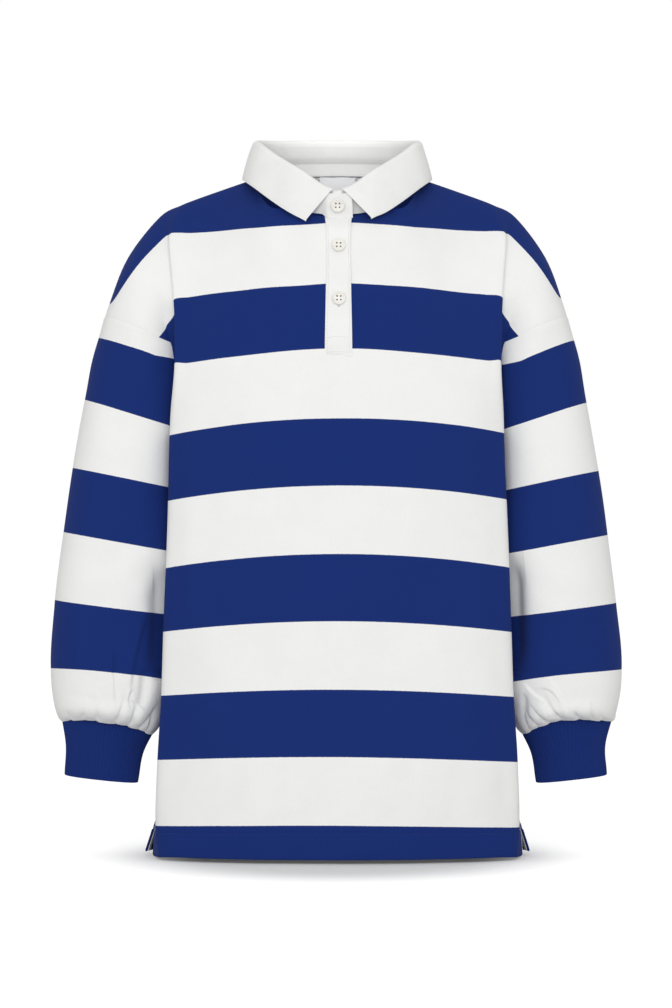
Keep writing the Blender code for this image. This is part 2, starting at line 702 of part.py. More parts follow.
make_body(False, JERSEY)
make_body(True, JERSEY)
for which in (-1, 1):
    make_sleeve(which, JERSEY)
    make_cuff(which, BLUE_RIB)
    make_vent_tape(which, PALE_TAPE)
make_leaf(WHITE_TWILL)
make_stand(WHITE_TWILL)
make_plackets(WHITE_TWILL)
make_label(WHITE_TWILL)
for spot in BUTTONS:
    make_button(spot, BUTTON_LOOK)
bpy.context.view_layer.update()
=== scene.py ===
"""Looks of the long-sleeved rugby sweatshirt: its cloth, stripes, collar, stitching and studio.

The cloth follows the same sections as the solids of the frame, in metres, +Z up, with the
front facing -Y. Folds are soft troughs and ridges, placed one by one along the cloth.
"""
import math
import bmesh
import bpy
import numpy as np
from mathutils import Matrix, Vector


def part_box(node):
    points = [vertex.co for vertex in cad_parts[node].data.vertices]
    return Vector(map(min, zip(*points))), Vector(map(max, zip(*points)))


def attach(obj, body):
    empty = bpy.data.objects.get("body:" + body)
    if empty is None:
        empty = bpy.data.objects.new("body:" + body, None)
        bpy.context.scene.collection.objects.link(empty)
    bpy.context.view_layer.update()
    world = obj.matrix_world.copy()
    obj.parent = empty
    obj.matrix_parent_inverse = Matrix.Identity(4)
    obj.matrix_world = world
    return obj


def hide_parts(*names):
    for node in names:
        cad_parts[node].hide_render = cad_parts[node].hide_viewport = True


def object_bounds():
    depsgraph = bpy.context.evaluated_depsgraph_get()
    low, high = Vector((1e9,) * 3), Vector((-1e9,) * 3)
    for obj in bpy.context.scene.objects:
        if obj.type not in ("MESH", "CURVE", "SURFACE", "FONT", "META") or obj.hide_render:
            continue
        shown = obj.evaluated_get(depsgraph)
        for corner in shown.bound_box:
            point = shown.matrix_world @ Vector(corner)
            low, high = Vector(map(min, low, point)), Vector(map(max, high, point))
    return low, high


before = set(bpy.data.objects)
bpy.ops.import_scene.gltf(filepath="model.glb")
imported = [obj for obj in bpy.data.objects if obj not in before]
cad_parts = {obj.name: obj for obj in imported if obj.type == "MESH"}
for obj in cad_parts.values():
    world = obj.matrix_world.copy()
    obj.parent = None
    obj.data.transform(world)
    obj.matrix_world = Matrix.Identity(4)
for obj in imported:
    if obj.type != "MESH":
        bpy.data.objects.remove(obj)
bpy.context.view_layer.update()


def metres(millimetres):
    if isinstance(millimetres, tuple):
        return tuple(metres(value) for value in millimetres)
    return millimetres / 1000


def table(columns, *rows):
    """Rows with named columns, written in millimetres and kept in metres.

    A column with a star holds no length and is kept as it is written. A short row has
    no value in the last columns.
    """
    kept = []
    for row in rows:
        cells = zip(columns.split(), row)
        kept.append({name.rstrip("*"): value if name[-1] == "*" else metres(value)
                     for name, value in cells})
    return kept


WORDS = {-1: "left", 1: "right"}
MIRROR = np.array([-1.0, 1.0, 1.0])
RADIAN = 57.3             # degrees

# ---------------- driving sizes
CLOTH = 0.0016            # heavy jersey
RIB = 0.0026              # doubled cuff rib
TWILL = 0.002             # collar cloth, two layers
PLACKET_CLOTH = 0.0016
TAPE = 0.0008
HALF_NECK = 0.083
NECK_FRONT = 0.078
NECK_BACK = 0.058
PLACKET_X = 0.001
PLACKET_WIDTH = 0.0276
SLIT = 0.0118             # half the width of the opening under the placket
SLIT_END = 0.196          # down the cloth to the lower end of that opening
PLACKET_END = 0.202       # and to the placket's lower edge
BUTTON_ACROSS = 0.0134
BUTTON_THICK = 0.0026
NECK_RADIUS = 0.075       # mean, for the lengths along the collar's cloth
LABEL_WIDTH = 0.038
LABEL_FALL = 0.026        # the label hangs free from the back of the neck seam
SHOULDER_RATE = 0.302     # fall of the cloth's grain for each metre along the shoulder
CHEST_RATE = 1.136        # fall of the grain for each metre of height, above the first stripe
FRONT_SLACK = 0.0258
VENT_TOP = 0.648
BACK_CORNER_LESS = 0.012
ARMPIT_WIDTH = 0.1635
SLEEVE_ROUND = 2.25       # power of a sleeve's section: 2 is an ellipse, more is squarer
SLEEVE_AROUND = 0.34      # cloth round the sleeve
ARM_MIDDLE = 0.005        # how far behind the wearer's middle the arms hang
CUFF_AROUND = 0.2
CUFF_RIBS = 92
RIB_HEIGHT = 0.00024
CUFF_FALL = 0.0555        # cloth from the cuff's top down to its fold
HEM_BAND = 0.0262         # height of the turned hem
HEM_ROWS_APART = 0.006    # between its two rows of stitches
STRIPE_BLEED = 0.0003     # how far a stripe's edge is blurred to each side

# Stripes, down the cloth: where the first blue one starts, one repeat, and the blue's share.
BODY_STRIPES = dict(start=-0.0015, repeat=0.132, blue=0.0655)
SLEEVE_STRIPES = {
    -1: dict(start=0.0222, repeat=0.1305, blue=0.064),
    1: dict(start=0.025, repeat=0.1305, blue=0.064),
}

# Sections of the body below the arms: how far down the cloth; where the front's flat part
# ends; how deep its front is, its corner and its back; its side; and how far it droops there.
LEVELS = table(
    "down wide front corner side back droop",
    (245, 163.5, 100, 56, 143, 86, 14),
    (310, 166.5, 99.5, 56, 143.5, 85, 13.6),
    (380, 168.8, 98, 55, 146, 82, 14),
    (450, 170.8, 98, 54.5, 150, 83, 11.8),
    (520, 173.2, 99, 54, 154, 85, 8.5),
    (590, 177.5, 101, 53, 164, 88, 6.6),
    (648, 178, 103, 54, 180, 92, 5.3),
    (692, 174, 104, 60, 183, 95, 0),
)
LENGTH = LEVELS[-1]["down"]
# The shoulder ridge, from the neck seam to the top of the armhole.
RIDGE = table(
    "x z",
    (83, 6), (130, -10.3), (156, -20.3), (177.5, -31.8), (200, -49.2), (215.5, -91), (233.5, -132),
)
# Down from the ridge along the chest's edge, the armpit fold, the arm's front and the armhole.
SHOULDER_LINES = table(
    "ridge* x y z down",
    (2, (165, 162, 160, 160), (36, 52, 59, 61), (-52, -92, -136, -184), (66, 106, 150, 199.5)),
    (3, (171, 166, 159, 154.5), (30, 46.5, 50, 41), (-58, -95, -137, -187), (69, 107, 138, 188)),
    (4.6, (204, 188, 172, 162), (34, 46, 45, 34), (-84, -104, -130, -180), (59.2, 89, 119, 170)),
    (6, (227, 205.5, 180.5, 151), (30, 47, 46, 30), (-134, -142, -153, -173),
     (71.5, 101, 127.5, 168)),
)
# How the cloth leaves the neck seam or the shoulder ridge, at each of the first stations:
# where it starts, how far it runs on at first, how far aside it turns and how steeply it leans.
CHEST_LINES = [
    dict(neck=0, back_neck=180, run=0.036, aside=0.0, lean=0.74),
    dict(neck=32, back_neck=147, run=0.03, aside=-0.25, lean=0.5),
    dict(neck=70, back_neck=110, run=0.049, aside=0.53, lean=0.6),
    dict(neck=90, back_neck=90, run=0.075, aside=0.45, lean=0.5),
    dict(ridge=0.09, run=0.072, aside=0.37, lean=0.5),
    dict(ridge=0.68, run=0.074, aside=0.1, lean=0.64),
    dict(ridge=1.45, run=0.07, aside=0.0, lean=0.56),
]
# The grain across the chest: how far down the cloth, its height at the middle, how much
# lower it hangs at the chest's edge, and how that grows on the way there.
GRAIN_LINES = table(
    "down middle fall power*",
    (64, -44.9, 5, 0.8),
    (130.5, -105.1, 11.1, 1.6),
    (196, -168.7, 12.6, 1.5),
)
GRAIN_EDGE = 0.1575
# The front hangs a little unevenly: down the cloth, and how much its +X half sits higher.
GRAIN_TILT = [(0.05, 0.0008), (0.13, 0.0013), (0.27, 0.0011), (0.4, 0.0003),
              (0.6, -0.0011), (0.7, -0.0006)]
# The sleeve's rings, from the upper arm down to the seam and the edge behind the cuff's top.
SLEEVE_RINGS = table(
    "down outer inner deep arch more",
    (88.2, (252.6, -217), (153.4, -248), 51.6),
    (156.6, (264.8, -287), (154.4, -309), 53.6),
    (215.7, (273.3, -346), (155.4, -367), 53.6),
    (288.5, (283.6, -420), (159.4, -435), 53.6),
    (348.8, (288.1, -481), (164.4, -493), 51.6),
    (373.2, (286.6, -506), (167.4, -516), 49.6),
    (398.2, (281.5, -529), (177, -540), 46.5, 7),
    (409, (277.4, -536.2), (183.8, -549), 37.6, 9, 2.4),
    (413, (275.2, -537.6), (185.2, -550.4), 34.6, 9, 2.6),
)
SLEEVE_KNOTS = [0.0, 0.086] + [ring["down"] for ring in SLEEVE_RINGS[1:]]
# How far down the sleeve's cloth the armhole seam runs, from its top to the underarm.
SEAM_DOWNS = {
    -1: (0.0, 0.0, 0.001, 0.003, 0.012, 0.06),
    1: (0.0, 0.0, -0.0005, -0.001, 0.007, 0.056),
}
# The cuff's rings, from its top to its fold.
CUFF_RINGS = table(
    "outer inner deep arch more",
    ((275.9, -536.6), (184.4, -549.4), 31.6, 9, 2.8),
    ((272.6, -557), (192.9, -566), 29.1, 3),
    ((273.4, -590), (199.4, -598), 27.6, 0),
)
# The collar by the angle from its front: the roll line, and the leaf's lower edge.
COLLAR = table(
    "turn* roll edge",
    (4, (4.9, -83.2, -12.4), (32.2, -86.6, -43)),
    (25, (34.5, -75.5, 6), (48.3, -76.5, -33.8)),
    (50, (61.5, -53.5, 24.2), (71.1, -60, -16.8)),
    (60, (68.6, -46.5, 30.1), (80.2, -51, -9.2)),
    (71, (74.7, -37.5, 35.5), (87.5, -42, -3.3)),
    (85, (79.9, -19.5, 40.5), (93.6, -25, 2.3)),
    (100, (79, 3, 43.7), (93.8, 4, 5.2)),
    (130, (60, 32.5, 46.5), (78, 49, 9.5)),
    (180, (0, 50.5, 49), (0, 76, 8)),
)
# Where the buttons sit, down the placket; the first is on the stand's lap instead.
BUTTONS = table(
    "name* x down",
    ("button_top", 0.4, 0),
    ("button_middle", 1.2, 90.5),
    ("button_bottom", 1.4, 146),
)

# Creases as they are seen from the front, each a curved line from start through middle to
# end (x, z), its half width, its height (a trough is below 0) and how deep the lee beside
# it falls, on the +X side of a line that runs down.
FOLD = "start middle end width height lee*"
FRONT_FOLDS = table(
    FOLD,
    ((-124, -296), (-129, -340), (-148, -375), 11, -0.9, -0.7),
    ((-110, -350), (-118, -410), (-148, -495), 10, 0.9, 0.8),
    ((-60, -305), (-68, -350), (-70, -420), 12, 0.6, 0.6),
    ((36, -300), (66, -360), (98, -440), 13, -1, -0.6),
    ((122, -425), (138, -475), (145, -545), 12, 1, 0.7),
    ((-102, -550), (-104, -590), (-100, -640), 11, -0.8, -0.5),
    ((40, -565), (45, -600), (44, -635), 9, 0.6, 0.8),
    ((74, -545), (72, -590), (70, -635), 9, -0.7, -0.6),
    ((101, -560), (104, -600), (100, -635), 10, 0.7, 0.5),
    ((-80, -633), (-45, -623), (-15, -615), 5, -0.4, -0.5),
    ((-152, -520), (-156, -570), (-158, -630), 11, -1, -0.4),
    ((160, -540), (164, -585), (162, -630), 10, -0.9, -0.4),
)
BACK_FOLDS = table(
    FOLD,
    ((-90, -240), (-98, -340), (-120, -460), 16, -2.2, -0.7),
    ((-30, -320), (-42, -440), (-38, -580), 17, 1.8, 0.6),
    ((50, -280), (42, -380), (60, -500), 16, -1.9, -0.6),
    ((118, -270), (105, -390), (124, -540), 17, 2.1, 0.7),
    ((-95, -500), (-88, -570), (-96, -650), 15, 1.3, 0.6),
    ((20, -530), (26, -590), (18, -655), 13, -1.2, -0.6),
    ((-145, -55), (-120, -110), (-108, -170), 11, 1.6, 0.6),
    ((143, -60), (123, -120), (112, -180), 11, 1.5, -0.6),
)
# Slow unevenness of hanging cloth: wavelength across and down, where it starts, height.
SWELLS = table(
    "across down start* height",
    (118, 560, 0.4, 0.55),
    (71, 330, 2.3, 0.38),
    (172, -270, 4.1, 0.6),
    (54, -410, 1.2, 0.22),
    (-96, 190, 5.0, 0.3),
)
# Tucks where the sleeve is gathered into the cuff: angle round the sleeve (0 outer edge,
# 90 front, 180 inner edge), half width, depth, height up the sleeve, and lean in degrees.
TUCK = "turn* width* depth reach lean*"
TUCKS = {
    -1: table(
        TUCK,
        (18, 5.0, 1, 14, 2), (44, 4.5, 1.3, 18, -3), (64, 3.8, 1.9, 24, 4),
        (82, 4.2, 2.2, 36, -6), (100, 3.4, 3, 56, 3), (117, 4.0, 3, 54, -4),
        (131, 5.0, 3.4, 40, 13), (147, 5.5, 3.6, 34, -11), (166, 6.5, 3.2, 30, 6),
        (190, 6.0, 2.7, 32, -5), (212, 4.8, 2.8, 42, 4), (231, 4.2, 2.4, 30, -3),
        (252, 3.8, 2.7, 48, 5), (270, 4.4, 2.1, 28, -4), (291, 4.0, 2.4, 38, 3),
        (316, 4.6, 1.6, 22, -2), (340, 5.0, 1.2, 16, 2),
    ),
    1: table(
        TUCK,
        (22, 4.6, 1, 14, -2), (47, 4.2, 1.5, 19, 3), (63, 3.6, 1.9, 22, -3),
        (79, 3.6, 2.3, 26, 5), (95, 4.6, 3.4, 54, 15), (112, 4.2, 3, 42, 17),
        (127, 5.2, 3.3, 32, 9), (144, 5.4, 3.6, 38, -10), (163, 6.4, 3.3, 30, 5),
        (186, 6.0, 2.7, 30, 4), (208, 4.8, 2.9, 44, -5), (229, 4.2, 2.3, 28, 3),
        (249, 4.0, 2.6, 45, -4), (272, 4.4, 2.2, 30, 4), (295, 4.0, 2.3, 36, -3),
        (320, 4.6, 1.5, 20, 2), (343, 5.0, 1.1, 15, -2),
    ),
}


# ---------------- splines and grids
def spline_weights(knots, at):
    """Rows of weights of a smooth curve through points at the knots."""
    knots = np.asarray(knots, float)
    at = np.clip(np.asarray(at, float), knots[0], knots[-1])
    slope = np.gradient(np.eye(len(knots)), knots, axis=0)
    cell = np.clip(np.searchsorted(knots, at, side="right") - 1, 0, len(knots) - 2)
    wide = np.diff(knots)[cell]
    s = (at - knots[cell]) / wide
    rows = np.zeros((len(at), len(knots)))
    index = np.arange(len(at))
    rows[index, cell] += 2 * s**3 - 3 * s**2 + 1
    rows[index, cell + 1] += 3 * s**2 - 2 * s**3
    rows += ((s**3 - 2 * s**2 + s) * wide)[:, None] * slope[cell]
    rows += ((s**3 - s**2) * wide)[:, None] * slope[cell + 1]
    return rows


def ease(value, low, high):
    """0 at low and 1 at high, smoothly; high may be the smaller one."""
    s = np.clip((value - low) / (high - low), 0, 1)
    return s * s * (3 - 2 * s)


def bell(value, width):
    """1 at 0, and close to 0 at twice the width."""
    return np.exp(-(value / width)**2)


def drop(away, steep, reach):
    """A sharp step down at 0 that dies out on both sides."""
    return -np.tanh(away / steep) * np.exp(-np.abs(away) / reach)


def turned_from(turns, middle=0.0):
    """The signed angle from a middle one, -180 to 180."""
    return np.mod(turns - middle + 180, 360) - 180


def unit(vectors):
    return vectors / np.maximum(np.linalg.norm(vectors, axis=-1, keepdims=True), 1e-12)


def spread(*runs):
    """Joined runs of evenly spaced values: (start, stop, steps) for each run."""
    values = [runs[0][0]]
    for start, stop, steps in runs:
        values.extend(np.linspace(start, stop, steps + 1)[1:])
    return np.array(values)


def grid_normals(points, flip=False):
    """Unit normals of a grid, out of the side that its faces show."""
    along = np.gradient(points, axis=0)
    across = np.gradient(points, axis=1)
    return unit(np.cross(along, across)) * (-1.0 if flip else 1.0)


# ---------------- the body's surface
STATIONS = [0.0, 0.045, 0.078, 0.083, 0.088, 0.12, 0.148, 0.1685, 0.19, 0.213, 0.238]
EDGE = STATIONS[-1]
CHEST_EDGE = 7
SIDE_SHARES = (0.0, 0.36, 0.7, 1.0)
UNDERARM_ROW, HEM_ROW = 5, 12
ROW_STEP = 0.042          # between the first body rows
BODY_ROWS = [-1, 0, 1, 2, 3, 4, 5, 6, 7, 8, 9, 10, 11, 12]


def ridge_point(place):
    spots = np.array([[row["x"], row["z"]] for row in RIDGE])
    x, z = (spline_weights(range(len(RIDGE)), [place]) @ spots)[0]
    return np.array([x, 0.0, z])


def ridge_length(place):
    spots = np.array([ridge_point(step) for step in np.linspace(0, place, 40)])
    return np.linalg.norm(np.diff(spots, axis=0), axis=1).sum() if place > 0 else 0.0


def body_row_point(level, station, back):
    """One point of a body section, and how far down the cloth it is."""
    wide, corner, side = level["wide"], level["corner"], level["side"]
    deep = level["back"] if back else level["front"]
    vent = max(0.0, level["down"] - VENT_TOP)
    side_y, low = -0.45 * vent, 0.0
    if back:
        corner -= BACK_CORNER_LESS
        wide -= 0.011 * ease(level["down"], 0.692, 0.58)
        side += 0.2 * vent
        side_y = -0.05 * vent
    if station < CHEST_EDGE:
        x = STATIONS[station] * wide / ARMPIT_WIDTH
        share = (x / wide) ** 2
        y = deep - (deep - corner - 0.004) * (x / wide) ** 2.6
    else:
        part, share = SIDE_SHARES[station - CHEST_EDGE], 1.0
        swell = 0.0035 * math.sin(math.pi * part) * ease(side, 0.172, 0.15)
        x = wide + (side - wide) * part + swell
        y = corner * (1 - part) + side_y * part * (1 if back else -1)
        low = 0.0 if back else 0.055 * vent * min(1.0, 0.4 + part)
    if back:
        share = 0.55 + 0.45 * share
    z = -(level["down"] - FRONT_SLACK) - level["droop"] * share - low
    return np.array([x, y if back else -y, z, level["down"]])


def grain_down(point, bottom):
    """How far down the cloth a point of the upper chest is, by its height."""
    share = abs(point[0]) / GRAIN_EDGE
    heights = [line["middle"] - line["fall"] * share ** line["power"] for line in GRAIN_LINES]
    downs = [line["down"] for line in GRAIN_LINES]
    if point[2] > heights[0]:
        beside_neck = ease(abs(point[0]), 0.124, 0.098) * ease(point[2], -0.008, 0.001)
        return downs[0] - (point[2] - heights[0]) * CHEST_RATE - 0.008 * beside_neck
    return float(np.interp(-point[2], [-z for z in heights] + [-bottom[2]], downs + [bottom[3]]))


def upper_chest_line(top, bottom, run, aside, lean):
    """A line from the neck or the ridge over the chest to the underarm row."""
    sign = -1.0 if bottom[1] < 0 else 1.0
    first = top + unit(np.array([aside, sign * math.cos(lean), -math.sin(lean)])) * run
    last = bottom[:3] + np.array([0, 0, 0.09 if run > 0.03 else 0.07])
    rows = []
    for s in (0.0, 0.17, 0.36, 0.57, 0.78, 1.0):
        a, b, c, d = (1 - s)**3, 3 * s * (1 - s)**2, 3 * s * s * (1 - s), s**3
        point = a * top + b * first + c * last + d * bottom[:3]
        rows.append([*point, grain_down(point, bottom)])
    return np.array(rows)


def neck_point(turn, lift=0.0, inward=0.0):
    """The neck seam at an angle from the front (0) to the back (180), +X side."""
    across, along = math.sin(math.radians(turn)), math.cos(math.radians(turn))
    deep = NECK_FRONT if along > 0 else NECK_BACK
    z = 0.006 - 0.044 * along if along > 0 else 0.006 + 0.0075 * along**2
    return np.array([(HALF_NECK - inward) * across, -(deep - inward) * along, z + lift])


def half_net(back):
    """The net of a front or back panel's +X half: rows by stations, x y z and down."""
    stations = range(len(STATIONS))
    bottom = [body_row_point(LEVELS[0], k, back) for k in stations]
    lines = []
    for k, line in enumerate(CHEST_LINES):
        neck = line.get("back_neck" if back else "neck")
        top = ridge_point(line["ridge"]) if "ridge" in line else neck_point(neck)
        lines.append(upper_chest_line(top, bottom[k], line["run"], line["aside"], line["lean"]))
    for k, line in enumerate(SHOULDER_LINES):
        along = ridge_length(line["ridge"])
        rate = SHOULDER_RATE * (1 + 0.045 * ease(along, 0.13, 0.22))
        rows = [[*ridge_point(line["ridge"]), rate * along]]
        for x, y, z, down in zip(line["x"], line["y"], line["z"], line["down"]):
            rows.append([x, y * (0.92 if back else -1.0), z, down])
        lines.append(np.array(rows + [bottom[CHEST_EDGE + k]]))
    lower = [[body_row_point(level, k, back) for k in stations] for level in LEVELS[1:]]
    net = np.concatenate([np.stack(lines, axis=1), np.array(lower)], axis=0)
    # One more row, over the ridge, gives the cloth its direction there.
    first = 2 * net[0:1] - net[1:2]
    first[:, 3:, :3] = net[1:2, 3:, :3] * (1, -1, 1)
    return np.concatenate([first, net], axis=0)


def body_net(back):
    half = half_net(back)
    other = half[:, :0:-1].copy()
    other[:, :, 0] *= -1
    return np.concatenate([other, half], axis=1)


def settle(points):
    """The arms hang a little unevenly: the +X one lies a touch closer."""
    moved = points.copy()
    moved[..., 0] -= 0.0035 * ease(points[..., 0], 0.175, 0.245)
    return moved


BODY_COLUMNS = [-k for k in STATIONS[:0:-1]] + STATIONS
NETS = {False: body_net(False), True: body_net(True)}


def body_grid(back, rows, columns):
    """Points (x y z) of the plain body surface, and how far down the cloth they are."""
    along = spline_weights(BODY_ROWS, rows)
    across = spline_weights(BODY_COLUMNS, columns)
    grid = np.einsum("ri,ijk,cj->rck", along, NETS[back], across)
    return settle(grid[..., :3]), grid[..., 3]


def grain_grid(back, rows, columns):
    """How far down the cloth each point is; the grain turns late at the chest's edge."""
    size = np.abs(columns)
    fold, beyond = STATIONS[CHEST_EDGE], STATIONS[CHEST_EDGE + 1]
    share = np.clip((size - fold) / (beyond - fold), 0, 1)
    late = np.where((size > fold) & (size < beyond), fold + (beyond - fold) * share**4, size)
    down = body_grid(back, rows, late * np.sign(columns))[1]
    tilt = np.interp(down, [d for d, _ in GRAIN_TILT], [rise for _, rise in GRAIN_TILT])
    return down + tilt * np.clip(columns / 0.16, -1, 1)[None, :]


def rows_down(rows):
    """How far down the cloth each body row lies, at the middle of the front."""
    return spline_weights(BODY_ROWS, rows) @ NETS[False][:, len(STATIONS) - 1, 3]


def row_at(down):
    """The body row that lies so far down the cloth, at the middle of the front."""
    rows = np.linspace(0, HEM_ROW, 400)
    return float(np.interp(down, rows_down(rows), rows))


# ---------------- folds
def fold_lift(points, folds):
    """How far the creases near each point push it out, seen from the front."""
    flat = points[..., [0, 2]]
    lift = np.zeros(points.shape[:-1])
    steps = np.linspace(0, 1, 28)
    for fold in folds:
        start, middle, end = (np.array(fold[key]) for key in ("start", "middle", "end"))
        width = fold["width"]
        bend = 2 * middle - (start + end) / 2
        line = np.array([start * (1 - s)**2 + bend * 2 * s * (1 - s) + end * s * s for s in steps])
        low, high = line.min(axis=0) - 4 * width, line.max(axis=0) + 4 * width
        near = np.all((flat > low) & (flat < high), axis=-1)
        if not near.any():
            continue
        away = flat[near][:, None, :] - line[None]
        nearest = np.argmin((away**2).sum(axis=-1), axis=1)
        spot = away[np.arange(len(nearest)), nearest]
        run = unit(np.gradient(line, axis=0))[nearest]
        beside = spot[:, 1] * run[:, 0] - spot[:, 0] * run[:, 1]
        beyond = spot[:, 0] * run[:, 0] + spot[:, 1] * run[:, 1]
        s = steps[nearest]
        fade = ease(s, 0.0, 0.3) * ease(s, 1.0, 0.7) * bell(beyond, width)
        if "lee" in fold:
            lee = abs(fold["lee"]) * bell(beside - 1.6 * width, 1.2 * width)
            shape = bell(beside, width) - lee
        else:
            shape = drop(beside, 0.22 * width, 1.3 * width)
        lift[near] += fold["height"] * fade * shape
    return lift


def swell_lift(points):
    lift = np.zeros(points.shape[:-1])
    for swell in SWELLS:
        wave = points[..., 0] / swell["across"] + points[..., 2] / swell["down"]
        lift += swell["height"] * np.sin(2 * math.pi * wave + swell["start"] + 0.4 * points[..., 1])
    return lift


def panel_grid(back, rows, columns):
    """The creased body surface: points, outward normals, and how far down the cloth."""
    plain, _ = body_grid(back, rows, columns)
    down = grain_grid(back, rows, columns)
    out = grid_normals(plain, flip=back)
    swell = swell_lift(plain) * ease(down, 0.02, 0.1)
    lift = fold_lift(plain, BACK_FOLDS if back else FRONT_FOLDS) + swell
    return plain + out * lift[..., None], out, down


# ---------------- meshes
def set_all(thing, **values):
    """Sets several properties of a new thing, and returns it."""
    for key, value in values.items():
        setattr(thing, key, value)
    return thing


def add_object(name, data, place=(0, 0, 0)):
    made = bpy.data.objects.new(name, data)
    made.location = place
    bpy.context.scene.collection.objects.link(made)
    return made


def add_mesh(name, mesh, place=(0, 0, 0)):
    """An object from a finished bmesh."""
    data = bpy.data.meshes.new(name)
    mesh.to_mesh(data)
    mesh.free()
    return add_object(name, data, place)


def smooth_mesh(name, points, faces, look):
    data = bpy.data.meshes.new(name)
    data.from_pydata(points.tolist(), [], faces)
    data.shade_smooth()
    data.materials.append(look)
    return add_object(name, data)


def stand_for(made, slot=None, *nodes):
    """A finished piece rides on the garment and stands for its plain solids."""
    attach(made, "root")
    if nodes:
        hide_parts(*nodes)
    return made


def cloth_piece(name, points, across, down, look, wall, slot, node,
                flip=False, keep=None, bevel=0.00035):
    """A shell through a grid of points, with its wall behind it and soft edges.

    across and down say where on the cloth each point is, and node what it stands for.
    """
    rows, columns = points.shape[:2]
    index = np.arange(rows * columns).reshape(rows, columns)
    faces = np.stack([index[:-1, :-1], index[1:, :-1], index[1:, 1:], index[:-1, 1:]], axis=-1)
    faces = faces[keep] if keep is not None else faces.reshape(-1, 4)
    if flip:
        faces = faces[:, ::-1]
    used, renamed = np.unique(faces, return_inverse=True)
    made = smooth_mesh(name, points.reshape(-1, 3)[used], renamed.reshape(-1, 4).tolist(), look)
    uv = np.stack(np.broadcast_arrays(across, down), axis=-1)
    layer = made.data.uv_layers.new(name="cloth")
    layer.data.foreach_set("uv", uv.reshape(-1, 2)[faces.ravel()].ravel())
    if wall:
        set_all(made.modifiers.new("wall", "SOLIDIFY"), thickness=wall, offset=-1.0, use_rim=True)
    if bevel:
        set_all(made.modifiers.new("soft_edges", "BEVEL"), width=bevel, segments=2,
                limit_method="ANGLE", angle_limit=math.radians(55))
    return stand_for(made, slot, node)


# ---------------- materials
class Nodes:
    """The nodes of a material or of the world being put together."""

    def __init__(self, tree):
        self.tree = tree

    def add(self, kind, **settings):
        return set_all(self.tree.nodes.new("ShaderNode" + kind), **settings)

    def feed(self, socket, value):
        if isinstance(value, bpy.types.NodeSocket):
            self.tree.links.new(value, socket)
        else:
            socket.default_value = value

    def join(self, kind, *values, **settings):
        """The first output of a new node, with its first inputs fed."""
        made = self.add(kind, **settings)
        for socket, value in zip(made.inputs, values):
            self.feed(socket, value)
        return made.outputs[0]

    def math(self, operation, *values):
        return self.join("Math", *values, operation=operation)

    def ramp(self, value, low, high, start=0.0, stop=1.0):
        return self.join("MapRange", value, low, high, start, stop, interpolation_type="SMOOTHSTEP")

    def waves(self, value, half):
        """0 up to 1 and back, over and over; half is the length of the way up."""
        return self.math("DIVIDE", self.math("PINGPONG", value, half), half)

    def mix(self, share, first, second, **settings):
        made = self.add("Mix", data_type="RGBA", **settings)
        for socket, value in zip((made.inputs[0], *made.inputs[6:8]), (share, first, second)):
            self.feed(socket, (*value, 1.0) if isinstance(value, tuple) else value)
        return made.outputs[2]

    def shade(self, colour, factor):
        """The colour times a grey factor."""
        grey = self.join("CombineColor", factor, factor, factor)
        return self.mix(1.0, colour, grey, blend_type="MULTIPLY")

    def seen_directly(self):
        """1 for rays from the camera or by way of gloss or glass."""
        path = self.add("LightPath")
        seen = path.outputs["Is Camera Ray"]
        for word in ("Is Glossy Ray", "Is Transmission Ray"):
            seen = self.math("MAXIMUM", seen, path.outputs[word])
        return seen


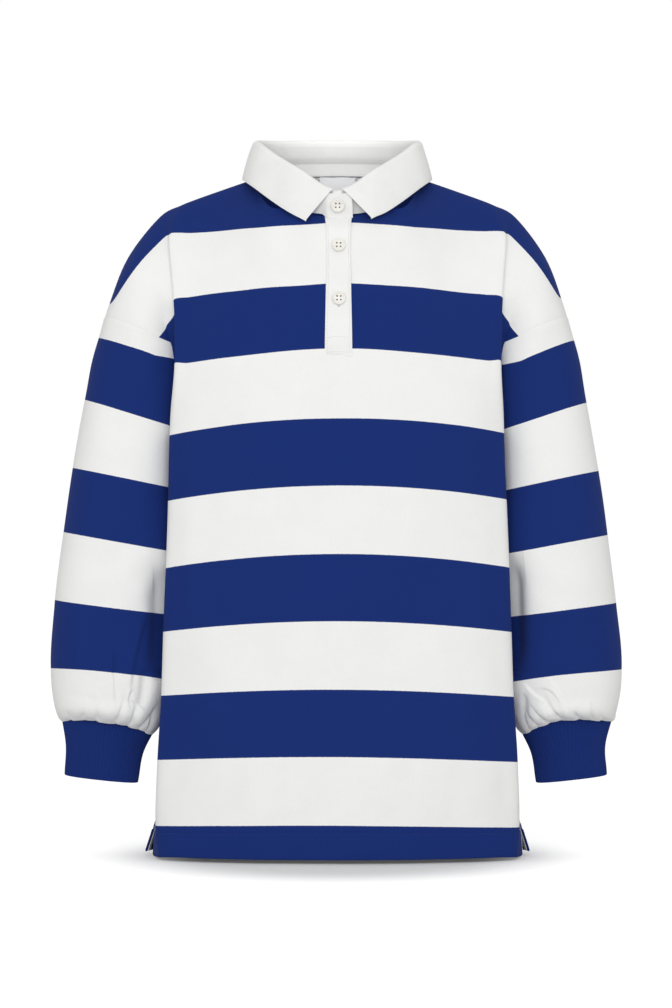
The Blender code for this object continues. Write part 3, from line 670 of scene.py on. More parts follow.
class Look(Nodes):
    """A node material being put together."""

    def __init__(self, name, colour, roughness, sheen=0.0, specular=0.08):
        self.material = bpy.data.materials.new(name)
        self.material.use_nodes = True
        super().__init__(self.material.node_tree)
        self.shader = self.tree.nodes["Principled BSDF"]
        self.material.diffuse_color = (*colour, 1.0)
        for key, value in (("Base Color", (*colour, 1.0)), ("Roughness", roughness),
                           ("Sheen Weight", sheen), ("Sheen Roughness", 0.6),
                           ("Specular IOR Level", specular)):
            self.shader.inputs[key].default_value = value

    def cloth_axes(self):
        """Metres across and down the cloth."""
        split = self.add("SeparateXYZ")
        self.feed(split.inputs[0], self.add("UVMap", uv_map="cloth").outputs[0])
        return split.outputs[0], split.outputs[1]

    def place(self, stretch, **settings):
        """Where on the object a point is, stretched."""
        made = self.add("Mapping", **settings)
        made.inputs["Scale"].default_value = stretch
        self.feed(made.inputs["Vector"], self.add("TexCoord").outputs["Object"])
        return made.outputs[0]

    def noise(self, scale, detail=2.0, stretch=(1.0, 1.0, 1.0)):
        made = self.add("TexNoise")
        self.feed(made.inputs["Vector"], self.place(stretch))
        made.inputs["Scale"].default_value = scale
        made.inputs["Detail"].default_value = detail
        return made.outputs["Fac"]

    def mottle(self, colour, coarse=0.01, fine=0.03):
        """Uneven dye and nap: slow blotches and fine fuzz."""
        slow = self.ramp(self.noise(38.0, 3.0), 0.25, 0.75, 1.0 - coarse, 1.0 + coarse)
        fuzz = self.ramp(self.noise(1500.0), 0.2, 0.8, 1.0 - fine, 1.0 + fine)
        return self.shade(colour, self.math("MULTIPLY", slow, fuzz))

    def knit(self, across, down, wale, course=0.0009):
        """Height of plain knit: columns of V stitches."""
        column = self.waves(across, wale / 2)
        slant = self.math("MULTIPLY_ADD", column, 0.5, self.math("DIVIDE", down, course))
        loop = self.math("SINE", self.math("MULTIPLY", slant, 2 * math.pi))
        rounded = self.math("POWER", column, 0.6)
        return self.math("MULTIPLY", rounded, self.math("MULTIPLY_ADD", loop, 0.22, 0.78))

    def finish(self, colour, height, depth, strength=0.6):
        bump = self.add("Bump")
        bump.inputs["Strength"].default_value = strength
        bump.inputs["Distance"].default_value = depth
        self.feed(bump.inputs["Height"], height)
        self.feed(self.shader.inputs["Base Color"], colour)
        self.feed(self.shader.inputs["Normal"], bump.outputs[0])
        return self.material


WHITE = (0.835, 0.835, 0.822)
BLUE = (0.0088, 0.0268, 0.157)
# One collar cloth in two copies: their whites differ only by how light falls on each, the collar's
# painted a little darker (painted shade) and the placket's a little lighter (painted light).
COLLAR_WHITE_WITH_PAINTED_SHADE = (0.832, 0.832, 0.816)
PLACKET_WHITE_WITH_PAINTED_LIGHT = (0.85, 0.85, 0.836)


def striped_jersey(name, stripes):
    look = Look(name, WHITE, 0.95, sheen=0.02)
    across, down = look.cloth_axes()
    ragged = look.math("MULTIPLY_ADD", look.noise(700.0), 0.0006, -0.0003)
    half_blue, half_repeat = stripes["blue"] / 2, stripes["repeat"] / 2
    place = look.math("ADD", look.math("SUBTRACT", down, stripes["start"] + half_blue), ragged)
    away = look.math("ABSOLUTE", look.math("WRAP", place, half_repeat, -half_repeat))
    blue = look.ramp(away, half_blue - STRIPE_BLEED, half_blue + STRIPE_BLEED, 1.0, 0.0)
    height = look.knit(across, down, 0.0011)
    colour = look.mottle(look.mix(blue, WHITE, BLUE))
    # Painted shade: the knit's low loops are darkened in the colour, as shade in its hollows.
    colour = look.shade(colour, look.ramp(height, 0.0, 0.6, 0.975, 1.01))
    fuzz = look.math("MULTIPLY_ADD", look.noise(2200.0), 0.6, height)
    return look.finish(colour, fuzz, 0.0001, 0.5)


def blue_rib():
    look = Look("blue_rib", BLUE, 0.95, sheen=0.02)
    across, down = look.cloth_axes()
    half = CUFF_AROUND / CUFF_RIBS / 2
    height = look.knit(across, down, half)
    # Painted shade: the colour is darker in each groove between the ribs.
    groove_painted_shade = look.ramp(look.math("PINGPONG", across, half), 0.0, half / 2, 0.84, 1.02)
    return look.finish(look.shade(look.mottle(BLUE), groove_painted_shade), height, 0.00016)


def collar_cloth(name, colour):
    look = Look(name, colour, 0.88, sheen=0.06)
    across, down = look.cloth_axes()
    diagonal = look.math("ADD", across, look.math("MULTIPLY", down, 0.8))
    yarn = look.waves(down, 0.00022)
    height = look.math("MULTIPLY_ADD", yarn, 0.3, look.waves(diagonal, 0.00035))
    # Painted shade: the colour is darker where the twill's height is low, in its hollows.
    with_painted_hollow_shade = look.shade(look.mottle(colour, 0.02, 0.03), look.ramp(height, 0.0, 1.2, 0.97, 1.01))
    return look.finish(with_painted_hollow_shade, height, 0.0001, 0.5)


def woven(name, colour, roughness):
    """Plain weave for the label and the tapes."""
    look = Look(name, colour, roughness)
    across, down = look.cloth_axes()
    height = look.math("MULTIPLY", look.waves(across, 0.0003), look.waves(down, 0.0004))
    # Painted shade: the colour is darker where the weave's height is low, in its hollows.
    with_painted_hollow_shade = look.shade(look.mottle(colour, 0.03, 0.04), look.ramp(height, 0.0, 1.0, 0.92, 1.03))
    return look.finish(with_painted_hollow_shade, height, 0.00008)


def thread(name, colour):
    look = Look(name, colour, 0.75, sheen=0.05)
    twist = look.add("TexWave", wave_type="BANDS", bands_direction="DIAGONAL")
    look.feed(twist.inputs["Vector"], look.add("TexCoord").outputs["Object"])
    twist.inputs["Scale"].default_value = 900.0
    # Painted shade: the colour is darker between the twisted strands, following the bump's bands.
    painted_strand_shade = look.ramp(twist.outputs["Fac"], 0, 1, 0.9, 1.03)
    with_painted_hollow_shade = look.shade(look.mottle(colour, 0.02, 0.04), painted_strand_shade)
    return look.finish(with_painted_hollow_shade, twist.outputs["Fac"], 0.00005)


def button_look():
    colour = (0.8, 0.785, 0.73)
    look = Look("off_white_button", colour, 0.32, specular=0.5)
    clouds = look.ramp(look.noise(240.0, 4.0, (1.0, 1.0, 0.3)), 0.3, 0.7, 0.95, 1.04)
    return look.finish(look.shade(colour, clouds), look.noise(900.0), 0.00002, 0.4)


# ---------------- body panels
def panel_rows(back):
    hem, band, slit_end = (row_at(down) for down in (LENGTH - 0.004, LENGTH - HEM_BAND, SLIT_END))
    chest = [(0.3, slit_end, 46), (slit_end, UNDERARM_ROW, 16)]
    if back:
        chest = [(0.3, UNDERARM_ROW, 60)]
    return spread((0, 0.3, 8), *chest, (UNDERARM_ROW, band - 0.06, 100),
                  (band - 0.06, band + 0.06, 10), (band + 0.06, hem, 4), (hem, HEM_ROW, 5))


def panel_columns():
    flat, seam = 0.205, EDGE - 0.006
    half = spread((0.0, SLIT, 4), (SLIT, flat, 52), (flat, seam, 10), (seam, EDGE, 6))
    return np.concatenate([-half[:0:-1], half])


def finished_panel(back, rows, columns):
    """The creased panel, pinched at its seams and doubled at the hem."""
    points, out, down = panel_grid(back, rows, columns)
    size = np.abs(columns)
    above = LENGTH - rows_down(rows)[:, None]
    band = ease(above, HEM_BAND + 0.0012, HEM_BAND - 0.0012)
    upper, lower = bell(above - HEM_BAND, 0.0011), bell(above - HEM_BAND + HEM_ROWS_APART, 0.0011)
    ridge_seam = bell(rows[:, None] * ROW_STEP, 0.0018) * (size > HALF_NECK + 0.001)
    pinched = bell(EDGE - size, 0.0016) + ridge_seam
    lift = 0.0006 * band - 0.0005 * (upper + 0.8 * lower + pinched) - 0.0007 * bell(above, 0.0011)
    return points + out * lift[..., None], out, down


def make_panel(back, look):
    rows, columns = panel_rows(back), panel_columns()
    points, _, down = finished_panel(back, rows, columns)
    middle = np.abs(columns[:-1] + columns[1:]) / 2 < SLIT
    slit = (rows[1:] <= row_at(SLIT_END) + 1e-6)[:, None] & middle & (not back)
    return cloth_piece(
        "back_panel" if back else "front_panel", points, columns, down, look, CLOTH,
        "striped_jersey", "body_back" if back else "body_front", flip=back, keep=~slit)


# ---------------- sleeves and cuffs
def armhole_points(turns, side):
    """The armhole seam of a body side, walked round from its top through the front."""
    turns = np.mod(turns, 360)
    points = np.zeros((len(turns), 3))
    ends = np.sort(side * np.array([EDGE - 0.0004, EDGE]))
    for back in (False, True):
        picked = np.flatnonzero((turns > 180) == back)
        share = np.minimum(turns[picked], 360 - turns[picked]) / 180
        order = np.argsort(share)
        seam, _, _ = panel_grid(back, share[order] * UNDERARM_ROW, ends)
        points[picked[order]] = seam[:, 1 if side > 0 else 0]
    return points


def arm_ring(ring, turns, side):
    """A slanted ring of an arm: turn 0 at its outer edge, 90 in front, 180 at the inner one.

    The +X arm may stand out further at its outer edge.
    """
    more = ring.get("more", 0.0) * (side > 0)
    outer, inner = np.array(ring["outer"]) + (more, 0.6 * more), np.array(ring["inner"])
    angle = np.radians(turns)
    circle = np.stack([np.cos(angle), np.sin(angle)])
    across, depth = np.sign(circle) * np.abs(circle)**(2.0 / SLEEVE_ROUND)
    x, z = (outer + inner)[:, None] / 2 + (outer - inner)[:, None] / 2 * across
    z = z + ring.get("arch", 0.0) * np.sin(angle)**2
    return settle(np.stack([side * x, ARM_MIDDLE - ring["deep"] * depth, z], axis=-1))


def seam_down(turns, side):
    """How far down the sleeve's cloth its armhole seam runs, below its top."""
    downs = SEAM_DOWNS[side]
    return np.interp(np.abs(turned_from(turns)), np.linspace(0, 180, len(downs)), downs)


def tuck_lift(side, rows, turns):
    """The gathers above a cuff: valleys that fade up the sleeve."""
    height = SLEEVE_RINGS[-2]["down"] - rows[:, None]
    lift = np.zeros((len(rows), len(turns)))
    for tuck in TUCKS[side]:
        share = np.clip(height / tuck["reach"], 0, 1)
        width = tuck["width"] * (1 + 0.9 * share)
        away = turned_from(turns, tuck["turn"] + tuck["lean"] * share)
        fade = ease(share, 1.0, 0.25) * (0.26 + 0.74 * ease(height, 0.0, 0.007))
        valley = 0.42 * bell(np.abs(away) - 2.1 * width, 1.3 * width) - bell(away, width)
        shape = 0.6 * valley + 0.55 * drop(away, 0.22 * width, 1.7 * width)
        lift += tuck["depth"] * fade * shape
    return lift


def jogs(side, turns):
    """The small steps of the gathered edge over the cuff."""
    steps = np.zeros(len(turns))
    for tuck in TUCKS[side][1::2]:
        away, width = turned_from(turns, tuck["turn"]), tuck["width"]
        steps -= 0.0009 * drop(away, 0.3 * width, 2.4 * width)
    return steps


# Creases without a lee are crisp: the cloth stands up on the -X side and drops on the other.
SLEEVE_FOLDS = {
    -1: table(
        FOLD,
        ((-220.7, -452), (-221.2, -488), (-218.5, -526), 5, 1.3),
        ((-185, -425), (-198.5, -468), (-206.2, -518), 8, 1.9),
        ((-198.5, -500), (-206.5, -511), (-202.5, -526), 3, 1),
        ((-190, -480), (-191.5, -502), (-196.5, -526), 4.8, -3.4, 0.2),
        ((-203, -511), (-198, -518), (-192, -526), 3, -1.2),
        ((-247.4, -508), (-247, -520), (-247.8, -533), 3.6, 0.5),
        ((-236, -500), (-234.5, -515), (-233, -533), 3.6, 0.7),
        ((-173.5, -370), (-175, -440), (-178, -502), 10.5, -8, 0.0),
        ((-200, -150), (-220, -210), (-225, -290), 13, -1, -0.5),
        ((-190, -330), (-215, -370), (-255, -390), 11, -1, -0.6),
        ((-185, -395), (-205, -415), (-240, -430), 10, 0.9, 0.6),
    ),
    1: table(
        FOLD,
        ((206, -483), (218.2, -508), (230, -534), 5.6, 1.2),
        ((183, -495), (194.5, -507.5), (207, -515), 4.4, 1.2),
        ((195, -503.5), (211, -505), (223, -524), 3.6, -0.8),
        ((207.2, -514), (205.8, -525), (208, -535), 3.4, 0.9),
        ((234.5, -518), (235, -527), (236, -535), 3, 0.8),
        ((250, -513), (250.5, -524), (252, -534), 3, 0.7),
        ((186.2, -506), (184.6, -519), (187.2, -531), 3.2, -2, 0.2),
        ((170, -360), (171, -430), (174, -500), 11.5, -13, 0.0),
        ((200, -150), (217, -210), (220, -290), 13, -1, -0.5),
        ((188, -335), (215, -370), (250, -385), 11, -0.9, -0.6),
        ((185, -400), (205, -420), (240, -435), 10, 0.9, 0.6),
    ),
}
# How much lower the sleeve's last stripes run at its outer and inner edge than in front.
SLEEVE_BOW = {-1: (0.0037, 0.0038), 1: (0.0018, 0.004)}


def sleeve_grid(side, rows, turns):
    """The sleeve's plain surface, and how far down its cloth each point is."""
    rings = [armhole_points(turns, side)] + [arm_ring(ring, turns, side) for ring in SLEEVE_RINGS]
    points = np.einsum("ri,ijk->rjk", spline_weights(SLEEVE_KNOTS, rows), np.array(rings))
    downs = [ring["down"] for ring in SLEEVE_RINGS]
    down = np.array([np.interp(rows, SLEEVE_KNOTS, [first, *downs])
                     for first in seam_down(turns, side)]).T
    edge = np.cos(np.radians(turns))
    bow = np.where(edge > 0, *SLEEVE_BOW[side]) * edge**2
    return points, down - ease(rows, 0.29, 0.36)[:, None] * bow


def make_sleeve(side, look):
    """A sleeve, sewn along its underside, gathered into the cuff."""
    # From the seam underneath round the back, then in finer steps over the front.
    turns = spread((180, 400, 100), (400, 540, 200))
    rows = spread((0, 0.006, 4), (0.006, 0.34, 62), (0.34, 0.413, 58))
    plain, down = sleeve_grid(side, rows, turns)
    out = grid_normals(plain, flip=side > 0)
    low, aside, ahead = rows[:, None], np.cos(np.radians(turns)), np.sin(np.radians(turns))
    # Behind, the same creases are turned over: a ridge becomes a trough.
    lift = fold_lift(plain, SLEEVE_FOLDS[side]) * (1.9 * ease(ahead, -0.15, 0.35) - 0.9)
    lift = lift + swell_lift(plain) * ease(low, 0.0, 0.05)
    lift = lift + (1 - 0.35 * ease(ahead, 0.0, 0.4)) * tuck_lift(side, rows, turns)
    across = (turns - 180) / 360 * SLEEVE_AROUND
    to_seam = np.minimum(across, SLEEVE_AROUND - across)
    lift = lift - 0.0009 * bell(to_seam, 0.0016) - 0.0005 * bell(low, 0.0016)
    lift = lift + 0.0024 * np.maximum(0, aside)**2 * bell(low - 0.042, 0.026)
    points = plain + out * lift[..., None]
    points[..., 2] -= jogs(side, turns) * ease(low, 0.402, 0.413)
    word = WORDS[side]
    return cloth_piece(f"sleeve_cloth_{word}", points, across, down, look, CLOTH,
                       "striped_jersey", f"sleeve_{word}_side", flip=side > 0)


def make_cuff(side, look):
    """A cuff of doubled rib: down its outside, round the fold at the hem, and up inside."""
    turned = np.linspace(0, 360, CUFF_RIBS * 6 + 1)
    rings = np.array([arm_ring(ring, 180 + turned, side) for ring in CUFF_RINGS])
    fall = spread((0, 0.15, 4), (0.15, 3, 26))
    base = np.einsum("ri,ijk->rjk", spline_weights([0, 1, 3], fall), rings)
    out = grid_normals(base, flip=side > 0)
    # The walk: all rows downwards, the last one again round the fold, all rows upwards.
    steps, round_fold = np.arange(len(fall)), np.radians(spread((0, 180, 8)))[1:-1]
    walk = np.concatenate([steps, np.full(len(round_fold), steps[-1]), steps[::-1]])
    bend = np.concatenate([0 * fall, round_fold, 0 * fall + math.pi])[:, None]
    places, inside = fall[walk][:, None], (1 - np.cos(bend)) / 2
    rib = RIB_HEIGHT * np.cos(np.radians(turned * CUFF_RIBS))
    lift = rib * (1 - 2 * inside) * ease(places, 0.0, 0.12) - RIB * inside - 0.0004
    points = base[walk] + out[walk] * lift[..., None]
    points[..., 2] += RIB / 2 * (1 - np.sin(bend))
    down = np.where(inside < 0.5, places, 6 - places) * CUFF_FALL / 3
    word, across = WORDS[side], turned / 360 * CUFF_AROUND
    return cloth_piece(f"cuff_rib_{word}", points, across, down, look, 0,
                       "blue_rib", f"cuff_{word}_side", flip=side > 0, bevel=0)


# ---------------- stitching
STITCH_RINGS = table(
    "along* out* wide*",
    (-0.5, -0.6, 0.6),
    (-0.28, 0.25, 1.0),
    (0.28, 0.25, 1.0),
    (0.5, -0.6, 0.6),
)


def stitches(name, path, out, look, pitch=0.003, length=0.0022, thick=0.00034):
    """Short raised stitches along a path that has a normal at each point."""
    walked = np.concatenate([[0], np.cumsum(np.linalg.norm(np.diff(path, axis=0), axis=1))])
    middles = np.arange(pitch / 2, walked[-1], pitch)

    def at(values):
        return np.stack([np.interp(middles, walked, values[:, k]) for k in range(3)], axis=-1)

    centre, normal, ahead = at(path), unit(at(out)), unit(at(np.gradient(path, axis=0)))
    side = unit(np.cross(ahead, normal))
    around = [side * math.cos(turn) + normal * math.sin(turn)
              for turn in np.radians(np.arange(0, 360, 60))]
    points = np.stack([
        centre + ahead * ring["along"] * length
        + (normal * ring["out"] + spoke * ring["wide"]) * thick
        for ring in STITCH_RINGS for spoke in around], axis=1)
    sides, size = len(around), points.shape[1]
    faces = []
    for first in range(0, len(middles) * size, size):
        faces += [list(range(first, first + sides))[::-1],
                  list(range(first + size - sides, first + size))]
        for low in range(first, first + size - sides, sides):
            for k, after in zip(range(sides), [*range(1, sides), 0]):
                faces.append([low + k, low + after, low + sides + after, low + sides + k])
    stand_for(smooth_mesh(name, points.reshape(-1, 3), faces, look))


def sewn_line(name, back, rows, columns, look, **sizes):
    """Stitches over a finished panel, along one row or one column of it."""
    level = np.ndim(rows) == 0
    if level:
        rows = rows + np.array([-0.002, 0.0, 0.002])
    else:
        columns = columns + np.array([-0.0004, 0.0, 0.0004])
    points, out, _ = finished_panel(back, rows, columns)
    pick = (1, slice(None)) if level else (slice(None), 1)
    stitches(name, points[pick], out[pick], look, **sizes)


def sew_hems(navy, pale):
    """Two rows round the hem, and the rows that hold the vents' turned edges."""
    for back in (False, True):
        word = "back" if back else "front"
        for place, above in (("upper", HEM_BAND), ("lower", HEM_BAND - HEM_ROWS_APART)):
            row = row_at(LENGTH - above)
            columns = np.linspace(-EDGE + 0.007, EDGE - 0.007, 240)
            sewn_line(f"hem_stitches_{word}_{place}", back, row, columns, navy)
    vent = row_at(VENT_TOP + 0.004)
    short, full = np.linspace(vent, vent + 0.3, 24), np.linspace(vent, HEM_ROW - 0.08, 40)
    sewn_line("vent_stitches_left", False, short, -EDGE + 0.003, pale, thick=0.0005)
    sewn_line("vent_stitches_right_outer", False, full, EDGE - 0.003, pale)
    sewn_line("vent_stitches_right_inner", False, full, EDGE - 0.006, pale)


# ---------------- collar
def collar_point(line, turn):
    """A point of the roll or the edge; turn runs from -180 to 180 with 0 in front."""
    knots = [row["turn"] for row in COLLAR] + [360 - COLLAR[-2]["turn"]]
    spots = [row[line] for row in COLLAR] + [MIRROR * COLLAR[-2][line]]
    if line == "roll":
        knots = [-COLLAR[1]["turn"]] + knots
        spots = [MIRROR * COLLAR[1][line]] + spots
    point = (spline_weights(knots, [abs(turn)]) @ np.array(spots))[0]
    return point * MIRROR if turn < 0 else point


def roll_point(turn):
    return collar_point("roll", turn)


def edge_point(turn):
    """The leaf's lower edge; its +X tip lies a little further out and higher."""
    raised = ease(turn, 26, 4) if turn >= 0 else 0.0
    return collar_point("edge", turn) + np.array([0.0018, 0.0, 0.002]) * raised


def outward(turn):
    """The level direction out of the roll line."""
    ahead = roll_point(turn + 2) - roll_point(turn - 2)
    if abs(turn) < 12:
        ahead = np.array([1.0, 0.0, 0.0])
    return unit(np.array([ahead[1], -ahead[0], 0.0]))


def signed_turn(turn):
    return turn if turn <= 180 else turn - 360


def leaf_section(turn):
    """The leaf's section from inside the roll, over it, and down to its edge."""
    roll, edge, out = roll_point(turn), edge_point(turn), outward(turn)
    up = np.array([0.0, 0.0, 1.0])
    hidden = 0.45 * ease(abs(turn), 10, 40)
    sunk = (neck_point(turn, inward=0.001) - roll) * hidden
    low = roll - out * 0.0046 - up * 0.006
    return np.array([
        low + sunk + out * (0.0022 + 0.0027 * hidden),
        low + sunk * 0.4 + out * (0.0004 + 0.0018 * hidden),
        roll - out * 0.0038 - up * 0.0016,
        roll - out * 0.0008 + up * 0.0011,
        roll + out * 0.0026,
        roll + (edge - roll) * 0.16 + out * 0.0034,
        roll + (edge - roll) * 0.55 + out * 0.0026,
        edge + out * 0.0006,
    ])


def make_leaf(look):
    first = COLLAR[0]["turn"]
    turns = spread((first, 25, 24), (25, 85, 34), (85, 180, 48))
    walk = np.concatenate([turns, 360 - turns[-2::-1]])
    sections = np.array([leaf_section(signed_turn(turn)) for turn in walk])
    places = spread((0, 1, 4), (1, 4, 12), (4, 6.9, 22), (6.9, 7, 3))
    along = spline_weights([0, 1.4, 2.1, 2.6, 3.2, 4.3, 5.7, 7], places)
    points = np.einsum("sk,tkd->std", along, sections)
    low, section, radius = places[:, None], 0.056, 0.07
    from_edge = (1 - low / 7) * section
    from_end = np.minimum(walk - first, 360 - first - walk) / RADIAN * radius
    pressed = np.minimum(bell(from_edge, 0.0008) + bell(from_end, 0.0008), 1.0)
    lift = swell_lift(points) * 0.5 * ease(low, 3.5, 5) - 0.0005 * pressed
    points = points + grid_normals(points) * lift[..., None]
    cloth_piece("collar_leaf_cloth", points, walk / RADIAN * NECK_RADIUS, low * 0.0085,
                look, TWILL, "white_collar_cloth", "collar_leaf", bevel=0.0005)


def stand_section(turn, lap):
    """The stand's section from the neck seam up to just under the roll."""
    lift = 0.0012 + 0.0014 * math.sin(math.radians(turn))**2
    bottom = neck_point(turn, lift=lift, inward=0.001)
    if lap > 0.001:
        bottom = bottom + np.array([0.0, -0.0022, -0.0042]) * ease(lap, 0.0022, 0.0034)
    # Between the leaf's two ends the stand comes up as high as the roll.
    under = 0.0046 - 0.0036 * ease(abs(turn), 3.7, 2.4)
    out = outward(turn)
    top = roll_point(turn) - out * 0.002 - np.array([0, 0, under])
    return np.array([bottom, (top + bottom) / 2 + out * 0.0012, top]) + out * lap


def stand_lap(turn):
    """The band starts under the lap at -X and ends over it at +X."""
    return 0.0034 * ease(turn, 338, 356) - 0.0012 * ease(-turn, -22, -4)


def make_stand(look):
    over = 10.5
    start = spread((-over, over, 36), (over, 25, 12))
    walk = np.concatenate([start, spread((25, 335, 130))[1:-1], 360 - start[::-1]])
    sections = np.array([stand_section(signed_turn(turn), stand_lap(turn)) for turn in walk])
    places = spread((0, 2, 14))
    points = np.einsum("sk,tkd->std", spline_weights([0, 1, 2], places), sections)
    across, down = walk / RADIAN * NECK_RADIUS, places[:, None] * 0.014
    cloth_piece("collar_stand_cloth", points, across, down, look, TWILL,
                "white_collar_cloth", "collar_stand", flip=True, bevel=0.0005)


# ---------------- placket, label, tapes
def strip(name, back, rows, columns, lift, wall, look, slot, node):
    """A strip made from a panel's own points, moved out from it or in behind it."""
    points, out, down = panel_grid(back, rows, columns)
    cloth_piece(name, points + out * lift, columns, down, look, wall, slot, node,
                flip=back, bevel=0.0003)


def make_plackets(look):
    half = PLACKET_WIDTH / 2
    columns = PLACKET_X + spread((-half, -half + 0.001, 3), (-half + 0.001, half - 0.001, 16),
                                 (half - 0.001, half, 3))
    pressed, end = row_at(PLACKET_END - 0.001), row_at(PLACKET_END)
    points, out, down = panel_grid(False, spread((0.03, pressed, 90), (pressed, end, 3)), columns)
    to_edge = half - np.abs(columns - PLACKET_X)
    to_end = PLACKET_END - down
    # The free edge stands up a little between the buttons.
    free = ease(columns, 0.004, half) * ease(down, 0.19, 0.17)
    bulge = 0.0006 * free * (1 - np.cos(2 * math.pi * (down - 0.094) / 0.052)) / 2
    sewn = ease(columns, PLACKET_X + half, PLACKET_X - half)
    lift = PLACKET_CLOTH + 0.0007 - 0.0006 * sewn + bulge
    lift = lift - 0.0006 * (bell(to_edge, 0.0007) + bell(to_end, 0.0007))
    lift = lift - 0.0003 * bell(to_edge - 0.0026, 0.0008) - 0.0012 * ease(to_end, 0.014, 0.001)
    points = points + out * lift[..., None]
    inner = slice(8, -3)
    for word, column in (("left", 4), ("right", -5)):
        stitches(f"placket_stitches_{word}", points[inner, column], out[inner, column],
                 WHITE_THREAD)
    for word, above in (("end", 0.003), ("box", 0.0175)):
        row = int(np.argmin(np.abs(to_end[:, 11] - above)))
        stitches(f"placket_stitches_{word}", points[row, 4:-4], out[row, 4:-4], WHITE_THREAD)
    cloth_piece("placket_top_cloth", points, columns, down, look, PLACKET_CLOTH,
                "white_collar_cloth", "placket_top")
    columns = np.linspace(-SLIT + 0.0006, SLIT - 0.0006, 12)
    strip("placket_under_cloth", False, spread((0.04, row_at(0.193), 60)), columns, -0.0003,
          PLACKET_CLOTH * 0.8, look, "white_collar_cloth", "placket_under")


def make_label(look):
    """A bare label that hangs inside the back of the neck, under a line of seam stitches."""
    across = np.linspace(-LABEL_WIDTH / 2, LABEL_WIDTH / 2, 30)
    falls = np.linspace(0, LABEL_FALL, 30)[:, None]
    rim = np.array([neck_point(180 - turn, lift=-0.0002, inward=0.0036)
                    for turn in np.degrees(np.arcsin(across / HALF_NECK))])
    points = rim - falls[..., None] * np.array([0.0, 0.03, 1.0])
    points[..., 1] -= 0.0007 * np.sin(falls / LABEL_FALL * math.pi) * np.cos(across / 0.009)
    seam = np.array([neck_point(180 - turn, lift=0.0002, inward=0.004)
                     for turn in np.linspace(-28, 28, 60)])
    seam[:, 2] += 0.00035 * np.sin(seam[:, 0] / 0.0031)
    inwards = np.tile((0.0, -1.0, 0.0), (len(seam), 1))
    stitches("neck_seam_stitches", seam, inwards, GREY_THREAD, length=0.003)
    cloth_piece("neck_label_cloth", points, across, falls, look, TAPE,
                "white_label", "neck_label", bevel=0.0002)


def make_vent_tape(side, look):
    word = WORDS[side]
    columns = np.sort(side * np.linspace(EDGE - 0.0012, EDGE - 0.011, 9))
    strip(f"vent_tape_cloth_{word}", True, spread((HEM_ROW - 0.95, HEM_ROW - 0.03, 24)), columns,
          -(CLOTH + 0.0006), TAPE, look, "pale_tape", f"vent_tape_{word}_side")


# ---------------- buttons
# A button's section from its middle over the rim and back underneath, as shares of its
# radius and of its thickness.
BUTTON_PROFILE = [
    (0.0, 0.62), (0.55, 0.62), (0.64, 0.68), (0.72, 0.84), (0.78, 0.95), (0.85, 1.0),
    (0.92, 0.94), (0.98, 0.76), (1.0, 0.55), (0.98, 0.34), (0.9, 0.14), (0.72, 0.0), (0.0, 0.0),
]


def make_button(spot, look):
    """A four-hole button with its thread, on the placket or on the stand's lap; the thread in its
    holes is near black, painted shade of the holes.
    """
    name = spot["name"]
    low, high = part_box(name)
    centre = (low + high) / 2
    if spot["down"]:
        near = np.array([-1.0, 0.0, 1.0])
        _, out, _ = panel_grid(False, row_at(spot["down"]) + near * 0.02, near * 0.001)
        normal = out[1, 1]
    else:
        section = stand_section(spot["x"] / HALF_NECK * RADIAN, 0.0)
        normal = unit(np.cross(section[2] - section[0], np.array([-1.0, 0.0, 0.0])))
        normal = normal if normal[1] < 0 else -normal
    mesh = bmesh.new()
    verts = [mesh.verts.new((x * BUTTON_ACROSS / 2, 0.0, (z - 0.5) * BUTTON_THICK))
             for x, z in BUTTON_PROFILE]
    for first, second in zip(verts, verts[1:]):
        mesh.edges.new((first, second))
    made = add_mesh(name + "_disc", mesh)
    made.data.materials.append(look)
    set_all(made.modifiers.new("turned", "SCREW"), steps=64, render_steps=64,
            use_merge_vertices=True, merge_threshold=0.00002, use_smooth_shade=True)
    cutter = four_pins("holes", 0.0008, 0.012, 0.0)
    set_all(made.modifiers.new("holes", "BOOLEAN"), operation="DIFFERENCE", object=cutter)
    bpy.context.view_layer.update()
    turned = made.evaluated_get(bpy.context.evaluated_depsgraph_get())
    solid = bpy.data.meshes.new_from_object(turned)
    solid.set_sharp_from_angle(angle=math.radians(50))
    made.modifiers.clear()
    made.data = solid
    bpy.data.objects.remove(cutter, do_unlink=True)
    # Painted shade: the thread in the holes is near black, standing for the holes' shade as well as
    # the thread.
    thread_and_hole_shade = four_pins(name + "_thread", 0.00074, BUTTON_THICK * 0.75, -BUTTON_THICK * 0.16)
    thread_and_hole_shade.data.materials.append(HOLE_SHADE_THREAD)
    for part in (made, thread_and_hole_shade):
        set_all(part, location=centre, rotation_mode="QUATERNION",
                rotation_quaternion=Vector(normal).to_track_quat("Z", "Y"))
    stand_for(made, "button", name)
    stand_for(thread_and_hole_shade)
    if spot["down"]:
        place = np.array(centre) - np.array([0.0, 0.0, BUTTON_ACROSS / 2 + 0.0012])
        path = place - normal * BUTTON_THICK / 2 + near[:, None] * (0.0015, 0.0, 0.0)
        stitches(name + "_buttonhole", path, np.tile(normal, (3, 1)), TAN_THREAD)


def four_pins(name, radius, depth, rise):
    """Four upright pins at a button's holes."""
    mesh = bmesh.new()
    for x in (-0.0018, 0.0018):
        for y in (-0.0018, 0.0018):
            found = bmesh.ops.create_cone(mesh, cap_ends=True, segments=16, radius1=radius,
                                          radius2=radius, depth=depth)
            bmesh.ops.translate(mesh, verts=found["verts"], vec=(x, y, rise))
    return add_mesh(name, mesh)


# ---------------- studio
CAMERA_BACK = 3.6
EYE_HEIGHT = -0.36
VIEW_HEIGHT = 1.008       # height of the view at the wearer's middle
VIEW_MIDDLE = -0.319
SENSOR = 36.0


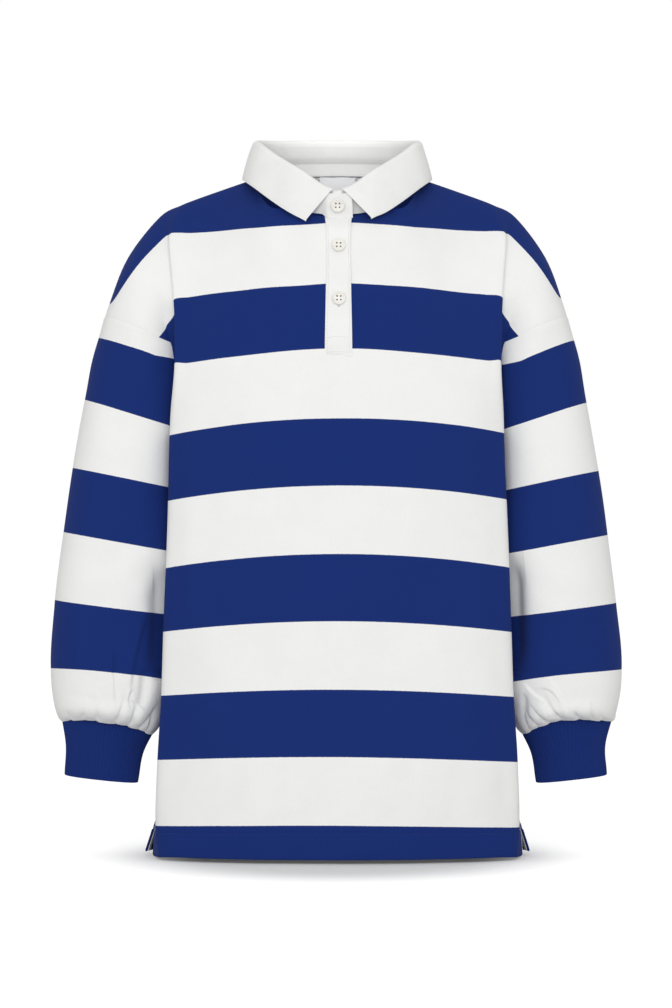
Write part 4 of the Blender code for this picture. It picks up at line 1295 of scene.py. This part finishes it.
def make_camera():
    data = set_all(bpy.data.cameras.new("camera"), sensor_fit="VERTICAL", sensor_height=SENSOR,
                   lens=SENSOR * CAMERA_BACK / VIEW_HEIGHT,
                   shift_y=(VIEW_MIDDLE - EYE_HEIGHT) / VIEW_HEIGHT, clip_end=50.0)
    camera = add_object("camera", data, (-0.0015, -CAMERA_BACK, EYE_HEIGHT))
    camera.rotation_euler = (math.radians(90), 0, 0)
    bpy.context.scene.camera = camera


def make_world(strength):
    """Even light; the camera, gloss and glass see plain white."""
    world = bpy.data.worlds.new("studio")
    world.use_nodes = True
    bpy.context.scene.world = world
    nodes, white = Nodes(world.node_tree), (1.0, 1.0, 1.0, 1.0)
    light = nodes.tree.nodes["Background"]
    nodes.feed(light.inputs["Color"], white)
    nodes.feed(light.inputs["Strength"], strength)
    mixed = nodes.join("MixShader", nodes.seen_directly(), light.outputs[0],
                       nodes.join("Background", white))
    nodes.feed(nodes.tree.nodes["World Output"].inputs["Surface"], mixed)


def make_lamp(name, kind, place, target, watts, **settings):
    data = set_all(bpy.data.lights.new(name, kind), energy=watts, **settings)
    lamp = add_object(name, data, place)
    lamp.rotation_euler = (Vector(target) - Vector(place)).to_track_quat("-Z", "Y").to_euler()


def make_floor(height, near_glow_in_painted_shadow, far_glow):
    """A white floor with the garment's real shadow, and a camera-only glow that is dim round the
    hem and bright further out: painted shadow near the hem.
    """
    mesh = bmesh.new()
    bmesh.ops.create_grid(mesh, x_segments=1, y_segments=1, size=15.0)
    floor = add_mesh("floor", mesh, (0, 0, height))
    look = Look("floor", (0.7, 0.7, 0.7), 1.0, specular=0.0)
    away = look.add("VectorMath", operation="LENGTH")
    look.feed(away.inputs[0], look.place((0.15, 0.2, 1.0), vector_type="TEXTURE"))
    bright = look.add("Emission")
    # Painted shadow: the glow seen by the camera is weakest near the garment, so the floor round
    # the hem looks darker.
    glow_with_painted_shadow = look.ramp(away.outputs["Value"], 0.9, 1.7, near_glow_in_painted_shadow, far_glow)
    look.feed(bright.inputs["Strength"], glow_with_painted_shadow)
    matte = look.shader.outputs[0]
    both = look.join("AddShader", matte, bright.outputs[0])
    mixed = look.join("MixShader", look.seen_directly(), matte, both)
    look.feed(look.tree.nodes["Material Output"].inputs["Surface"], mixed)
    floor.data.materials.append(look.material)


# ---------------- put together
make_camera()
BODY_JERSEY = striped_jersey("body_jersey", BODY_STRIPES)
SLEEVE_JERSEY = {side: striped_jersey(f"sleeve_jersey_{word}", SLEEVE_STRIPES[side])
                 for side, word in WORDS.items()}
RIB_LOOK = blue_rib()
COLLAR_LOOK = collar_cloth("white_collar_cloth", COLLAR_WHITE_WITH_PAINTED_SHADE)
PLACKET_LOOK_PAINTED_LIGHTER = collar_cloth("white_placket_cloth_painted_lighter", PLACKET_WHITE_WITH_PAINTED_LIGHT)
LABEL_LOOK = woven("white_label", (0.8, 0.8, 0.81), 0.6)
TAPE_LOOK = woven("pale_tape", (0.62, 0.63, 0.65), 0.85)
BUTTON_LOOK = button_look()
WHITE_THREAD = thread("white_thread", (0.8, 0.8, 0.79))
NAVY_THREAD = thread("navy_thread", (0.011, 0.032, 0.175))
PALE_THREAD = thread("pale_thread", (0.66, 0.7, 0.8))
GREY_THREAD = thread("grey_thread", (0.36, 0.38, 0.42))
TAN_THREAD = thread("tan_thread", (0.52, 0.47, 0.38))
# Near black: real thread in the buttons' holes, painted with the holes' shade.
HOLE_SHADE_THREAD = thread("near_black_hole_shade_thread", (0.08, 0.07, 0.06))

front = make_panel(False, BODY_JERSEY)
back = make_panel(True, BODY_JERSEY)
for side in (-1, 1):
    sleeve = make_sleeve(side, SLEEVE_JERSEY[side])
    cuff = make_cuff(side, RIB_LOOK)
    make_vent_tape(side, TAPE_LOOK)
make_leaf(COLLAR_LOOK)
make_stand(COLLAR_LOOK)
make_plackets(PLACKET_LOOK_PAINTED_LIGHTER)
sew_hems(NAVY_THREAD, PALE_THREAD)
make_label(LABEL_LOOK)
for spot in BUTTONS:
    make_button(spot, BUTTON_LOOK)

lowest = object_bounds()[0][2]
# Painted shadow: the floor's camera-only glow is 0.06 near the hem and 0.54 further out.
make_floor(lowest - 0.0015, 0.06, 0.54)
make_world(0.72)
make_lamp("softbox", "AREA", (-0.1, -3.5, 0.45), (0, 0, -0.3), 54.0,
          shape="RECTANGLE", size=2.8, size_y=2.0)
# A narrow beam that reaches the inside of the collar over its front.
make_lamp("neck_light", "SPOT", (0.0, -1.4, 0.95), (0.0, 0.055, 0.025), 60.0,
          spot_size=math.radians(4.4), spot_blend=1.0, shadow_soft_size=0.06)

scene = bpy.context.scene
scene.view_settings.view_transform = "Standard"
